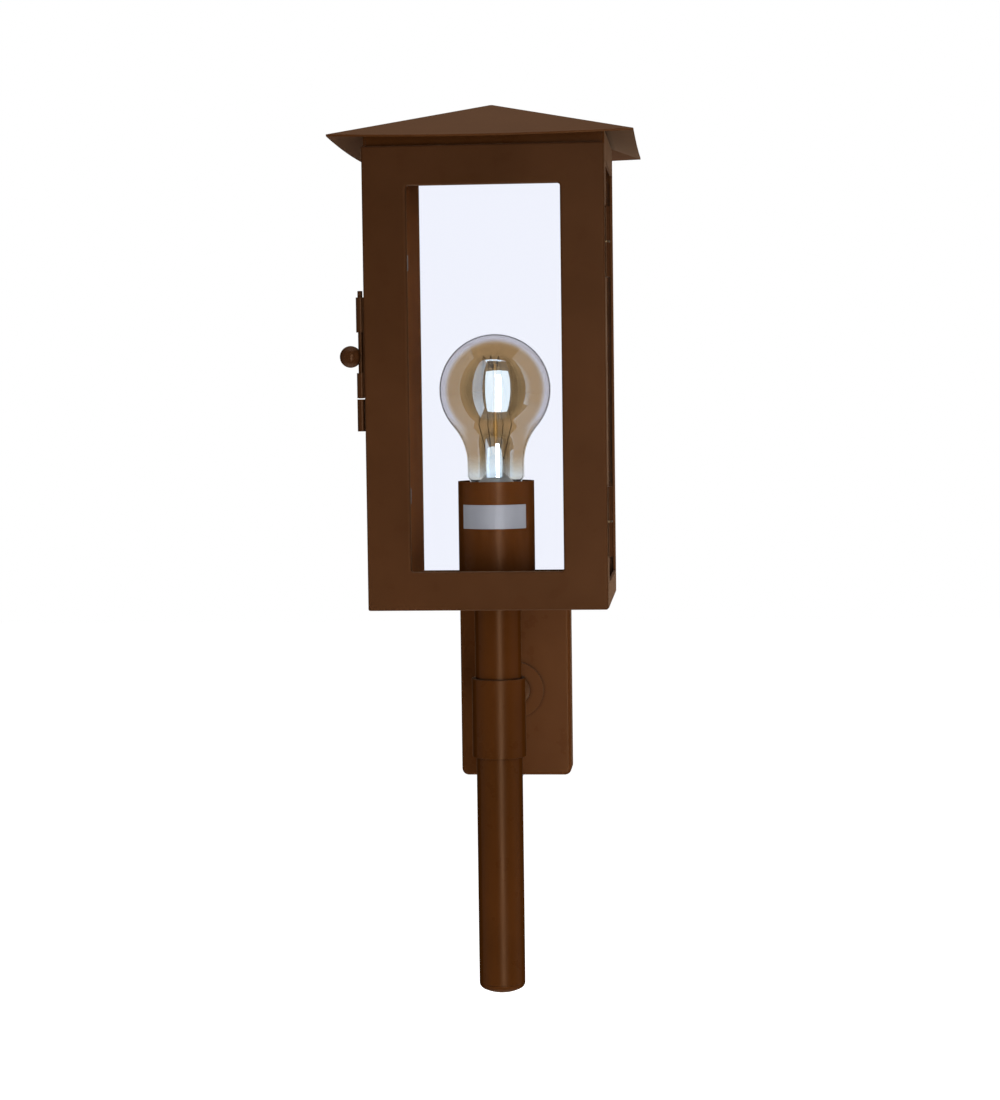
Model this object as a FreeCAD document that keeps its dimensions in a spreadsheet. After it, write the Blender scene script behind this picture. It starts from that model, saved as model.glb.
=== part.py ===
import FreeCAD, Part
import math
import os
import Sketcher

# Wall lantern on a round pole, held by a sleeve, an arm and a wall canopy.
# Frame: the wall is the plane Y = 0 and the lantern stands in front of it at
# negative Y. Z = 0 is the arm's axis, X = 0 is the middle. Millimetres.

Vector = FreeCAD.Vector
doc = FreeCAD.newDocument("wall_lantern")
size = doc.addObject("Spreadsheet::Sheet", "size")
at = doc.addObject("Spreadsheet::Sheet", "at")

# Driving sizes: name, value, meaning
SIZES = [
    ("canopy_width", 65.0, "wall canopy, side to side"),
    ("canopy_height", 102.0, "wall canopy, top to bottom"),
    ("canopy_depth", 20.0, "wall canopy, wall to face"),
    ("canopy_wall", 1.5, "canopy sheet"),
    ("canopy_corner", 4.0, "radius of the canopy's four corners"),
    ("canopy_edge", 2.0, "radius of the canopy's front edge"),
    ("strap_width", 20.0, "wall strap, side to side"),
    ("strap_thickness", 2.0, "wall strap sheet"),
    ("strap_tab", 13.0, "depth of the strap's bent tabs"),
    ("wall_hole_spacing", 74.0, "between the two wall screw holes"),
    ("wall_hole", 5.5, "wall screw hole diameter"),
    ("entry_hole", 16.0, "supply cable hole in the strap"),
    ("canopy_screw", 4.0, "canopy screw shank diameter"),
    ("canopy_screw_head", 7.0, "canopy screw head diameter"),
    ("canopy_screw_head_height", 2.2, "canopy screw head height"),
    ("canopy_screw_length", 6.0, "canopy screw shank length"),
    ("block_width", 30.0, "terminal block, side to side"),
    ("block_height", 14.0, "terminal block, along Z"),
    ("block_depth", 13.0, "terminal block, from the strap outwards"),
    ("block_lift", 2.0, "from the locknut up to the terminal block"),
    ("block_screw", 4.5, "terminal screw well diameter"),
    ("block_pitch", 9.0, "between terminal screw wells"),
    ("arm_diameter", 17.0, "arm tube outside"),
    ("arm_wall", 1.5, "arm tube wall"),
    ("arm_flange", 33.0, "arm flange diameter"),
    ("arm_flange_thickness", 2.0, "arm flange thickness"),
    ("locknut_width", 24.0, "arm locknut across flats"),
    ("locknut_thickness", 4.0, "arm locknut thickness"),
    ("pole_standoff", 140.0, "pole axis to the wall"),
    ("pole_diameter", 25.0, "pole outside"),
    ("pole_wall", 1.5, "pole tube wall"),
    ("pole_drop", 145.2, "pole tube's lower end below the arm axis"),
    ("dome_height", 5.6, "height of the pole end's dome"),
    ("dome_shoulder", 3.5, "radius of the dome's shoulder"),
    ("dome_plug", 9.0, "length of the pole end's plug"),
    ("sleeve_diameter", 29.0, "sleeve outside"),
    ("sleeve_height", 42.5, "sleeve length"),
    ("set_screw", 5.0, "sleeve set screw diameter"),
    ("set_screw_length", 5.0, "sleeve set screw length"),
    ("pole_plug", 12.0, "height of the plug in the pole's top"),
    ("cable_diameter", 6.0, "inner cable"),
    ("cable_bend", 15.0, "cable bend from arm to pole"),
    ("cable_tail_bend", 8.0, "cable bend from arm to terminal block"),
    ("cable_passage", 9.0, "cable hole through pole and sleeve"),
    ("seat_gap", 0.05, "round seats that are pressed, screwed or brazed"),
    ("sheet_gap", 0.1, "between welded sheets"),
    ("floor_height", 63.3, "underside of the lantern above the arm axis"),
    ("box_width", 124.0, "lantern, side to side"),
    ("box_depth", 124.0, "lantern, door face to back wall"),
    ("sheet", 1.2, "lantern sheet"),
    ("bend", 1.0, "outside radius of folded edges"),
    ("floor_flange", 6.0, "height of the floor pan's flanges"),
    ("lip_width", 10.0, "front lip of the side walls"),
    ("door_height", 238.3, "door, top to bottom"),
    ("door_depth", 8.0, "depth of the door pan"),
    ("parting_gap", 0.5, "between door and walls"),
    ("window_width", 79.0, "door window"),
    ("window_sill", 20.0, "door below its window"),
    ("window_head", 20.3, "door above its window"),
    ("window_corner", 1.5, "corner radius of the door window"),
    ("window_return", 4.0, "depth of the door window's folded edge"),
    ("side_front_stile", 14.5, "side wall in front of its window"),
    ("side_rear_stile", 8.0, "side wall behind its window"),
    ("wall_sill", 12.0, "side and back windows above the underside"),
    ("wall_head", 14.3, "side and back walls above their windows"),
    ("back_stile", 15.4, "back wall beside its window"),
    ("header_lap", 10.0, "header behind the top of the door"),
    ("header_flange", 10.0, "folded top of the header"),
    ("glass", 3.0, "pane thickness"),
    ("glass_lap", 5.0, "pane beyond its window"),
    ("glass_gap", 0.2, "between pane and sheet"),
    ("clip_width", 8.0, "glass clip, along the pane's edge"),
    ("clip_sheet", 0.7, "glass clip sheet"),
    ("clip_foot", 6.0, "glass clip's foot"),
    ("clip_finger", 5.0, "glass clip over the pane"),
    ("clip_spacing", 60.0, "between the two clips of an edge"),
    ("roof_width", 155.0, "roof, eave to eave"),
    ("roof_rise", 22.0, "roof apex above the eave corners"),
    ("eave_rise", 4.7, "eave corners above the door"),
    ("eave_sag", 1.3, "middle of an eave below its corners"),
    ("roof_sheet", 1.0, "roof sheet, measured upright"),
    ("apex_flat", 1.0, "width of the roof's blunt apex"),
    ("hinge_barrel", 4.2, "hinge knuckle diameter"),
    ("hinge_pin", 2.2, "hinge pin diameter"),
    ("hinge_out", 0.4, "hinge axis outside the side wall"),
    ("knuckle", 17.5, "length of one hinge knuckle"),
    ("hinge_washer", 0.8, "washer between knuckles"),
    ("hinge_play", 0.1, "end play beside the washer"),
    ("hinge_leaf", 8.0, "hinge leaf width"),
    ("hinge_notch_gap", 0.5, "room round a hinge in door and wall"),
    ("upper_hinge_drop", 32.1, "upper hinge below the top of the door"),
    ("lower_hinge", 27.0, "foot of the lower hinge"),
    ("running_gap", 0.06, "running fit of pins, each side"),
    ("latch_barrel", 4.4, "latch barrel diameter"),
    ("latch_pin", 2.6, "latch pin diameter"),
    ("latch_setback", 4.0, "latch axis behind the door's face"),
    ("latch_plate_gap", 0.2, "between latch pin and the guides' base plate"),
    ("keeper_base", 92.8, "foot of the keeper barrel"),
    ("keeper_length", 16.5, "keeper barrel"),
    ("keeper_play", 0.25, "loose fit of the pin in the keeper"),
    ("keeper_strap", 10.0, "keeper strap on the wall behind the door"),
    ("latch_gap", 0.6, "between keeper and lower guide"),
    ("lower_guide", 12.9, "lower guide barrel"),
    ("guide_gap", 20.9, "between the two guide barrels"),
    ("upper_guide", 17.9, "upper guide barrel"),
    ("latch_over", 3.3, "latch pin above the upper guide as stored"),
    ("latch_tip_gap", 0.5, "pin tip above the keeper as stored"),
    ("knob_diameter", 11.2, "ball knob"),
    ("knob_rise", 8.4, "ball centre above the lower guide as stored"),
    ("knob_reach", 5.3, "ball centre to pin axis"),
    ("cover_diameter", 41.0, "lampholder cover outside"),
    ("cover_wall", 1.0, "lampholder cover sheet"),
    ("cover_top", 64.6, "top of the cover above the underside"),
    ("nipple_diameter", 9.8, "threaded nipple"),
    ("nipple_bore", 7.2, "nipple bore"),
    ("nipple_rise", 13.0, "nipple above the cover's bottom"),
    ("nut_width", 14.0, "nipple nut across flats"),
    ("nut_thickness", 3.0, "nipple nut thickness"),
    ("holder_gap", 0.4, "between cover and porcelain"),
    ("holder_sink", 2.0, "porcelain below the cover's rim"),
    ("shell_wall", 0.5, "lampholder screw shell sheet"),
    ("shell_play", 0.35, "between lamp cap and screw shell"),
    ("wire_chamber", 11.0, "radius of the porcelain's wire chamber"),
    ("wire_chamber_height", 16.0, "height of the wire chamber"),
    ("contact_width", 7.0, "lampholder centre contact width"),
    ("contact_sheet", 0.5, "lampholder centre contact sheet"),
    ("contact_gap", 0.1, "between lamp and centre contact"),
    ("lamp_diameter", 60.0, "lamp globe"),
    ("lamp_seat", 37.5, "lamp's lowest point above the underside"),
    ("lamp_length", 106.0, "lamp, contact to top"),
    ("lamp_shoulder", 30.0, "radius of the lamp's hollow shoulder"),
    ("lamp_neck", 30.6, "lamp neck diameter"),
    ("lamp_wall", 0.8, "lamp glass"),
    ("neck_lap", 4.0, "length of the neck inside the cap"),
    ("cap_diameter", 26.2, "lamp screw cap"),
    ("cap_wall", 0.5, "lamp screw cap sheet"),
    ("cap_height", 18.0, "screw cap, insulator to neck"),
    ("insulator_height", 4.5, "lamp insulator"),
    ("insulator_foot", 10.5, "insulator's lower diameter"),
    ("lamp_contact", 9.6, "lamp centre contact diameter"),
    ("lamp_contact_height", 2.0, "lamp centre contact height"),
    ("stem_neck", 9.0, "glass stem's tube diameter"),
    ("stem_height", 17.0, "top of the stem's press above the cap"),
    ("press_height", 3.0, "height of the stem's tapered press"),
    ("rod_rise", 14.0, "top of the stem's glass rod above the globe's centre"),
    ("rod_diameter", 2.2, "stem's glass rod"),
    ("wire", 0.4, "lead and support wire diameter"),
    ("filament_wire", 0.24, "coiled filament diameter"),
    ("filament_drop", 18.0, "lower filament corners below the globe's centre"),
    ("filament_rise", 17.5, "upper filament corners above the globe's centre"),
    ("filament_low_radius", 9.5, "lower filament corners from the axis"),
    ("filament_high_radius", 6.5, "upper filament corners from the axis"),
]

# Places worked out from the sizes. Those that start with a lantern word are
# heights above its underside or distances from the pole's axis.
PLACES = [
    ("half_width", "size.box_width / 2"),
    ("inner_half", "size.box_width / 2 - size.sheet"),
    ("door_face", "-size.box_depth / 2"),
    ("door_rim", "-size.box_depth / 2 + size.door_depth"),
    ("front", "-size.box_depth / 2 + size.door_depth + size.parting_gap"),
    ("lip_back", "front + size.sheet"),
    ("back", "size.box_depth / 2"),
    ("back_inner", "size.box_depth / 2 - size.sheet"),
    ("eave_height", "size.door_height + size.eave_rise"),
    ("roof_half", "size.roof_width / 2"),
    ("roof_slope", "(size.roof_rise + size.eave_sag) / (roof_half - size.apex_flat / 2)"),
    ("wall_top", "eave_height - size.roof_sheet - size.eave_sag"
                 " + (roof_half - half_width) * roof_slope - size.sheet_gap"),
    ("header_foot", "size.door_height - size.header_lap"),
    ("header_top", "wall_top + (half_width + front) * roof_slope"),
    ("wall_window_top", "wall_top - size.wall_head"),
    ("pane_foot", "size.floor_flange + size.glass_gap"),
    ("pane_top", "wall_window_top + size.glass_lap"),
    ("side_window_front", "front + size.side_front_stile"),
    ("side_window_back", "back - size.side_rear_stile"),
    ("side_pane_out", "inner_half - size.glass_gap"),
    ("side_pane_in", "side_pane_out - size.glass"),
    ("back_pane_out", "back_inner - size.glass_gap"),
    ("back_window", "half_width - size.back_stile"),
    ("window_top", "size.door_height - size.window_head"),
    ("door_pane_front", "door_face + size.window_return + size.glass_gap"),
    ("door_pane_back", "door_pane_front + size.glass"),
    ("hinge_x", "half_width + size.hinge_out"),
    ("hinge_y", "(door_rim + front) / 2"),
    ("hinge_length", "2 * size.knuckle + size.hinge_washer + 2 * size.hinge_play"),
    ("upper_hinge", "size.door_height - size.upper_hinge_drop - hinge_length"),
    ("leaf_out", "inner_half - size.seat_gap"),
    ("latch_x", "-half_width - size.latch_barrel / 2"),
    ("latch_y", "door_face + size.latch_setback"),
    ("keeper_top", "size.keeper_base + size.keeper_length"),
    ("lower_guide_top", "keeper_top + size.latch_gap + size.lower_guide"),
    ("upper_guide_foot", "lower_guide_top + size.guide_gap"),
    ("knob_height", "lower_guide_top + size.knob_rise"),
    ("latch_top", "upper_guide_foot + size.upper_guide + size.latch_over"),
    ("cover_floor", "size.sheet + size.sheet_gap"),
    ("cover_inside", "cover_floor + size.cover_wall"),
    ("holder_foot", "cover_inside + size.nut_thickness + 2 * size.sheet_gap"),
    ("holder_top", "size.cover_top - size.holder_sink"),
    ("holder_radius", "size.cover_diameter / 2 - size.cover_wall - size.holder_gap"),
    ("lamp_tip", "size.lamp_seat"),
    ("lamp_centre", "lamp_tip + size.lamp_length - size.lamp_diameter / 2"),
    ("shoulder_foot", "lamp_centre - sqrt((size.lamp_diameter / 2 + size.lamp_shoulder) ^ 2"
                      " - (size.lamp_neck / 2 + size.lamp_shoulder) ^ 2)"),
    ("rod_top", "lamp_centre + size.rod_rise"),
    ("insulator_base", "lamp_tip + size.lamp_contact_height"),
    ("cap_base", "insulator_base + size.insulator_height"),
    ("cap_top", "cap_base + size.cap_height"),
    ("neck_foot", "size.cap_diameter / 2 - size.cap_wall - size.seat_gap"),
    ("neck_inside", "neck_foot - size.lamp_wall"),
    ("taper_top", "cap_top + 0.4 * (shoulder_foot - cap_top)"),
    ("flare_top", "cap_top + 0.4 * size.stem_height"),
    ("stem_press", "cap_top + size.stem_height"),
    ("shell_bore", "size.cap_diameter / 2 + size.shell_play"),
    ("shell_out", "shell_bore + size.shell_wall"),
    ("holder_seat", "lamp_tip - size.contact_gap - 2 * size.contact_sheet - 3 * size.contact_gap"),
    ("pole_inside", "size.pole_diameter / 2 - size.pole_wall"),
    ("canopy_face", "-size.canopy_depth"),
    ("canopy_inside", "-size.canopy_depth + size.canopy_wall"),
    ("strap_half", "size.canopy_height / 2 - size.canopy_wall - size.sheet_gap"),
    ("block_foot", "size.locknut_width / 2 + size.block_lift"),
    ("locknut_face", "canopy_inside + size.sheet_gap + size.locknut_thickness"),
]

for row, (name, value, meaning) in enumerate(SIZES, start=1):
    size.set(f"A{row}", meaning)
    size.set(f"B{row}", str(value))
    size.setAlias(f"B{row}", name)
for row, (name, formula) in enumerate(PLACES, start=1):
    at.set(f"A{row}", name)
    at.set(f"B{row}", "=" + formula)
    at.setAlias(f"B{row}", name)
doc.recompute()

pieces = []


def piece(item, label):
    """Name a finished sub-part and put it on the list that is written out."""
    item.Label = label
    pieces.append(item)
    return item


def place(item, x="0", y="0", z="0", turn=None):
    """Bind an object's place to formulas, after an optional fixed turn."""
    if turn is not None:
        item.Placement = FreeCAD.Placement(Vector(), turn)
    for axis, formula in zip("xyz", (x, y, z)):
        item.setExpression(f"Placement.Base.{axis}", formula)
    return item


ALONG_X = FreeCAD.Rotation(Vector(0, 1, 0), 90)
ALONG_Y = FreeCAD.Rotation(Vector(1, 0, 0), -90)
POLE_Y = "-size.pole_standoff"
FLOOR_Z = "size.floor_height"


def head(item):
    """Stand an object on the pole's axis at the lantern's underside."""
    return place(item, y=POLE_Y, z=FLOOR_Z)


def box(name, x, y, z):
    """Box between pairs of formulas (low, high) along each axis."""
    item = doc.addObject("Part::Box", name)
    for prop, (low, high) in zip(("Length", "Width", "Height"), (x, y, z)):
        item.setExpression(prop, f"({high}) - ({low})")
    return place(item, x[0], y[0], z[0])


def cylinder(name, radius, height, x="0", y="0", z="0", turn=None):
    """Round bar with its foot's centre at the given place."""
    item = doc.addObject("Part::Cylinder", name)
    item.setExpression("Radius", radius)
    item.setExpression("Height", height)
    return place(item, x, y, z, turn)


def cut(name, base, *tools):
    """Base less every tool."""
    item = doc.addObject("Part::Cut", name)
    item.Base = base
    item.Tool = tools[0] if len(tools) == 1 else fuse(name + "_tools", *tools)
    item.Refine = True
    return item


def fuse(name, *parts):
    """One solid from parts that overlap or share faces."""
    item = doc.addObject("Part::MultiFuse", name)
    item.Shapes = list(parts)
    item.Refine = True
    return item


def group(name, *parts):
    """Separate solids that share a node."""
    item = doc.addObject("Part::Compound", name)
    item.Links = list(parts)
    return item


def origin_plane(body, role):
    """A body's own origin plane."""
    return next(f for f in body.Origin.OriginFeatures if f.Role == role)


def sketch_on(body, name, role, offset):
    """Empty sketch on an origin plane, moved along its normal by a formula."""
    sketch = body.newObject("Sketcher::SketchObject", name)
    sketch.AttachmentSupport = [(origin_plane(body, role), "")]
    sketch.MapMode = "FlatFace"
    sketch.setExpression("AttachmentOffset.Base.z", offset)
    return sketch


def fix_point(sketch, geometry, end, x, y):
    """Hold one end of an edge at a pair of formulas."""
    for kind, formula in (("DistanceX", x), ("DistanceY", y)):
        index = sketch.addConstraint(Sketcher.Constraint(kind, -1, 1, geometry, end, 1.0))
        sketch.setExpression(f"Constraints[{index}]", formula)


def outline(sketch, corners):
    """Closed outline of straight edges with every corner at its formulas."""
    first = sketch.GeometryCount
    count = len(corners)
    for index in range(count):
        turn = 2 * math.pi * index / count
        after = 2 * math.pi * (index + 1) / count
        start = Vector(math.cos(turn), math.sin(turn), 0)
        end = Vector(math.cos(after), math.sin(after), 0)
        sketch.addGeometry(Part.LineSegment(start, end), False)
    for index in range(count):
        following = first + (index + 1) % count
        sketch.addConstraint(Sketcher.Constraint("Coincident", first + index, 2, following, 1))
    for index, (x, y) in enumerate(corners):
        fix_point(sketch, first + index, 1, x, y)
    return sketch


def rectangle(sketch, x, y):
    """Closed rectangle between pairs of formulas."""
    return outline(sketch, [(x[0], y[0]), (x[1], y[0]), (x[1], y[1]), (x[0], y[1])])


def ring(sketch, x, y, radius):
    """Circle at a pair of formulas."""
    index = sketch.addGeometry(Part.Circle(Vector(), Vector(0, 0, 1), 1.0), False)
    fix_point(sketch, index, 3, x, y)
    held = sketch.addConstraint(Sketcher.Constraint("Radius", index, 1.0))
    sketch.setExpression(f"Constraints[{held}]", radius)
    return sketch


def pad(body, name, sketch, length, reverse=False):
    """Sketch made solid along its plane's normal."""
    feature = body.newObject("PartDesign::Pad", name)
    feature.Profile = sketch
    feature.setExpression("Length", length)
    feature.Reversed = reverse
    body.Tip = feature
    return feature


def pocket(body, name, sketch, length, reverse=False):
    """Sketch cut away against its plane's normal, or along it if reversed."""
    doc.recompute()
    before = body.Shape.Volume
    feature = body.newObject("PartDesign::Pocket", name)
    feature.Profile = sketch
    feature.setExpression("Length", length)
    feature.Reversed = reverse
    body.Tip = feature
    doc.recompute()
    if body.Shape.Volume >= before:
        raise RuntimeError(f"{name} cuts nothing")
    return feature


def revolve(body, name, sketch):
    """Sketch turned about the upright axis of its plane."""
    feature = body.newObject("PartDesign::Revolution", name)
    feature.Profile = sketch
    feature.ReferenceAxis = (sketch, ["V_Axis"])
    feature.Angle = 360
    body.Tip = feature
    return feature


def turned(name, corners):
    """Body turned about the pole's axis from an outline of radius and height."""
    body = doc.addObject("PartDesign::Body", name)
    sketch = outline(sketch_on(body, name + "_profile", "XZ_Plane", "0"), corners)
    revolve(body, name + "_turn", sketch)
    return head(body)


def edges_where(shape, test):
    """Names of the edges whose box passes a test."""
    found = []
    for index, edge in enumerate(shape.Edges, start=1):
        if test(edge.BoundBox):
            found.append(f"Edge{index}")
    return found


def round_edges(body, name, radius, test):
    """Fillet on the tip's edges that pass a test on their boxes."""
    doc.recompute()
    tip = body.Tip
    feature = body.newObject("PartDesign::Fillet", name)
    feature.Base = (tip, edges_where(tip.Shape, test))
    feature.setExpression("Radius", radius)
    body.Tip = feature
    doc.recompute()
    return feature


def near(a, b):
    """Whether two lengths are the same for picking edges."""
    return abs(a - b) < 1e-3


def runs_along_y(b):
    """Whether an edge's box belongs to a straight edge from front to back."""
    return near(b.XLength, 0) and near(b.ZLength, 0)


CANOPY_X = ("-size.canopy_width / 2", "size.canopy_width / 2")
CANOPY_Z = ("-size.canopy_height / 2", "size.canopy_height / 2")
STRAP_X = ("-size.strap_width / 2", "size.strap_width / 2")
SCREW_Y = "-size.strap_thickness - size.strap_tab / 2"
ARM_END = "at.locknut_face + size.sheet_gap"
SET_SCREW_Z = "-size.sleeve_height / 4 - size.arm_diameter / 4"
POLE_TOP = "size.floor_height - size.sheet_gap"


def canopy_outside(canopy):
    """Block of the canopy with rounded corners and a rounded front edge."""
    tray = rectangle(sketch_on(canopy, "canopy_outline", "XZ_Plane", "0"), CANOPY_X, CANOPY_Z)
    pad(canopy, "canopy_block", tray, "size.canopy_depth")
    round_edges(canopy, "canopy_corners", "size.canopy_corner", runs_along_y)
    round_edges(canopy, "canopy_front", "size.canopy_edge", lambda b: near(b.YMax, at.canopy_face))


def canopy_hollow(canopy):
    """Hollow of the canopy, open to the wall."""
    hollow = sketch_on(canopy, "canopy_hollow", "XZ_Plane", "0")
    rectangle(hollow, [f"{low} * (1 - 2 * size.canopy_wall / size.canopy_width)" for low in CANOPY_X],
              [f"{low} * (1 - 2 * size.canopy_wall / size.canopy_height)" for low in CANOPY_Z])
    pocket(canopy, "canopy_inside", hollow, "size.canopy_depth - size.canopy_wall", True)
    inner_half = size.canopy_width / 2 - size.canopy_wall
    round_edges(canopy, "canopy_inner_corners", "size.canopy_corner - size.canopy_wall",
                lambda b: runs_along_y(b) and near(abs(b.XMax), inner_half))


def wall_canopy():
    """Shallow tray that covers the wall strap, with holes for arm and screws."""
    canopy = doc.addObject("PartDesign::Body", "canopy_body")
    canopy_outside(canopy)
    canopy_hollow(canopy)
    arm_hole = sketch_on(canopy, "canopy_arm_hole", "XZ_Plane", "size.canopy_depth")
    ring(arm_hole, "0", "0", "size.arm_diameter / 2 + size.seat_gap")
    pocket(canopy, "canopy_bore", arm_hole, "size.canopy_depth")
    screw_holes = sketch_on(canopy, "canopy_screw_holes", "XY_Plane", "size.canopy_height / 2")
    ring(screw_holes, "0", SCREW_Y, "size.canopy_screw / 2 + size.seat_gap")
    pocket(canopy, "canopy_screw_bores", screw_holes, "size.canopy_height")
    piece(canopy, "wall_canopy")


def strap_tab(side, sign):
    """Tab bent out at one end of the strap."""
    edge = f"{sign}at.strap_half"
    inner = f"{sign}(at.strap_half - size.strap_thickness)"
    heights = (edge, inner) if sign else (inner, edge)
    return box(f"strap_tab_{side}", STRAP_X, ("-size.strap_thickness - size.strap_tab", "0"), heights)


def wall_strap():
    """Flat bar on the wall with two tabs that take the canopy screws."""
    bar = box("strap_bar", STRAP_X, ("-size.strap_thickness", "0"), ("-at.strap_half", "at.strap_half"))
    bent = fuse("strap_bent", bar, strap_tab("low", "-"), strap_tab("high", ""))
    face = "-size.strap_thickness"
    holes = [cylinder("strap_entry", "size.entry_hole / 2", "size.strap_thickness", y=face, turn=ALONG_Y)]
    holes.append(cylinder("strap_tab_bores", "size.canopy_screw / 2 + size.seat_gap",
                          "size.canopy_height", y=SCREW_Y, z="-size.canopy_height / 2"))
    for side, sign in (("low", "-"), ("high", "")):
        holes.append(cylinder(f"strap_hole_{side}", "size.wall_hole / 2", "size.strap_thickness", y=face,
                              z=f"{sign}size.wall_hole_spacing / 2", turn=ALONG_Y))
    piece(cut("strap", bent, *holes), "wall_strap")


def canopy_screw(side, sign, direction):
    """One screw through the canopy's top or bottom wall into the strap's tab."""
    outer = f"{sign}size.canopy_height / 2"
    away = FreeCAD.Rotation() if direction > 0 else FreeCAD.Rotation(Vector(1, 0, 0), 180)
    head_height = "size.canopy_screw_head_height"
    shank = cylinder(f"screw_shank_{side}", "size.canopy_screw / 2", "size.canopy_screw_length",
                     y=SCREW_Y, z=outer, turn=away)
    cap = cylinder(f"screw_head_{side}", "size.canopy_screw_head / 2", head_height, y=SCREW_Y,
                   z=f"{outer} + ({-direction}) * ({head_height} + size.seat_gap)", turn=away)
    neck = cylinder(f"screw_neck_{side}", "size.canopy_screw / 2", head_height, y=SCREW_Y,
                    z=f"{outer} + ({-direction}) * {head_height}", turn=away)
    return fuse(f"screw_{side}", shank, neck, cap)


def canopy_screws():
    """The two screws that hold the canopy on the strap."""
    low = canopy_screw("low", "-", 1)
    high = canopy_screw("high", "", -1)
    piece(group("screws", low, high), "canopy_screws")


def arm_tube():
    """Tube from the canopy to the sleeve, with its end coped to fit round it."""
    length = f"{ARM_END} + size.pole_standoff"
    bar = cylinder("arm_bar", "size.arm_diameter / 2", length, y=POLE_Y, turn=ALONG_Y)
    bore = cylinder("arm_bore", "size.arm_diameter / 2 - size.arm_wall", length, y=POLE_Y, turn=ALONG_Y)
    cope = cylinder("arm_cope", "size.sleeve_diameter / 2 + size.seat_gap", "size.sleeve_height",
                    y=POLE_Y, z="-size.sleeve_height / 2")
    piece(cut("arm", bar, bore, cope), "arm_tube")


def arm_flange():
    """Flat ring on the arm in front of the canopy."""
    front = "at.canopy_face - size.arm_flange_thickness"
    disc = cylinder("flange_disc", "size.arm_flange / 2", "size.arm_flange_thickness", y=front, turn=ALONG_Y)
    hole = cylinder("flange_hole", "size.arm_diameter / 2 + size.seat_gap", "size.arm_flange_thickness",
                    y=front, turn=ALONG_Y)
    piece(cut("flange", disc, hole), "arm_flange")


def hex_nut(name, flats, thickness, bore, x="0", y="0", z="0", turn=None):
    """Plain hexagon nut with its foot's centre at the given place."""
    blank = doc.addObject("Part::Prism", name + "_blank")
    blank.Polygon = 6
    blank.setExpression("Circumradius", f"{flats} / sqrt(3)")
    blank.setExpression("Height", thickness)
    place(blank, x, y, z, turn)
    hole = cylinder(name + "_hole", bore, thickness, x, y, z, turn)
    return cut(name, blank, hole)


def arm_locknut():
    """Nut on the arm behind the canopy's face."""
    nut = hex_nut("arm_nut", "size.locknut_width", "size.locknut_thickness",
                  "size.arm_diameter / 2 + size.seat_gap",
                  y="at.canopy_inside + size.sheet_gap", turn=ALONG_Y)
    piece(nut, "arm_locknut")


def terminal_block():
    """Block on the strap above the arm, with wells for its screws."""
    face = "-size.strap_thickness - size.block_depth"
    body = box("block_body", ("-size.block_width / 2", "size.block_width / 2"),
               (face, "-size.strap_thickness"), ("at.block_foot", "at.block_foot + size.block_height"))
    wells = []
    for column in (-1, 0, 1):
        for row, share in (("low", "0.3"), ("high", "0.7")):
            wells.append(cylinder(f"block_well_{column + 1}_{row}", "size.block_screw / 2",
                                  "size.block_depth / 3", x=f"{column} * size.block_pitch", y=face,
                                  z=f"at.block_foot + {share} * size.block_height", turn=ALONG_Y))
    piece(cut("block", body, *wells), "terminal_block")


def pole_sleeve():
    """Sleeve round the pole with its cable passage and the set screw's hole."""
    foot = "-size.sleeve_height / 2"
    outside = cylinder("sleeve_out", "size.sleeve_diameter / 2", "size.sleeve_height", y=POLE_Y, z=foot)
    inside = cylinder("sleeve_in", "size.pole_diameter / 2 + size.seat_gap", "size.sleeve_height",
                      y=POLE_Y, z=foot)
    passage = cylinder("sleeve_passage", "size.cable_passage / 2", "size.sleeve_diameter / 2",
                       y=POLE_Y, turn=ALONG_Y)
    set_hole = cylinder("set_hole", "size.set_screw / 2 + size.seat_gap", "size.sleeve_diameter / 2",
                        y=POLE_Y, z=SET_SCREW_Z, turn=ALONG_Y)
    piece(cut("sleeve", outside, inside, passage, set_hole), "pole_sleeve")


def sleeve_set_screw():
    """Headless screw that holds the pole in the sleeve."""
    screw = cylinder("set_screw", "size.set_screw / 2", "size.set_screw_length",
                     y=f"{POLE_Y} + size.pole_diameter / 2 + size.seat_gap", z=SET_SCREW_Z, turn=ALONG_Y)
    piece(screw, "sleeve_set_screw")


def pole_tube():
    """Tube from the lantern's floor to its domed end."""
    length = f"{POLE_TOP} + size.pole_drop"
    outside = cylinder("pole_out", "size.pole_diameter / 2", length, y=POLE_Y, z="-size.pole_drop")
    inside = cylinder("pole_in", "at.pole_inside", length, y=POLE_Y, z="-size.pole_drop")
    passage = cylinder("pole_passage", "size.cable_passage / 2", "size.pole_diameter / 2",
                       y=POLE_Y, turn=ALONG_Y)
    piece(cut("pole", outside, inside, passage), "pole_tube")


def pole_plug():
    """Plug in the pole's top that takes the nipple."""
    foot = f"{POLE_TOP} - size.pole_plug"
    disc = cylinder("plug_disc", "at.pole_inside - size.seat_gap", "size.pole_plug", y=POLE_Y, z=foot)
    hole = cylinder("plug_hole", "size.nipple_diameter / 2 + size.seat_gap", "size.pole_plug",
                    y=POLE_Y, z=foot)
    piece(cut("plug", disc, hole), "pole_plug")


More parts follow.
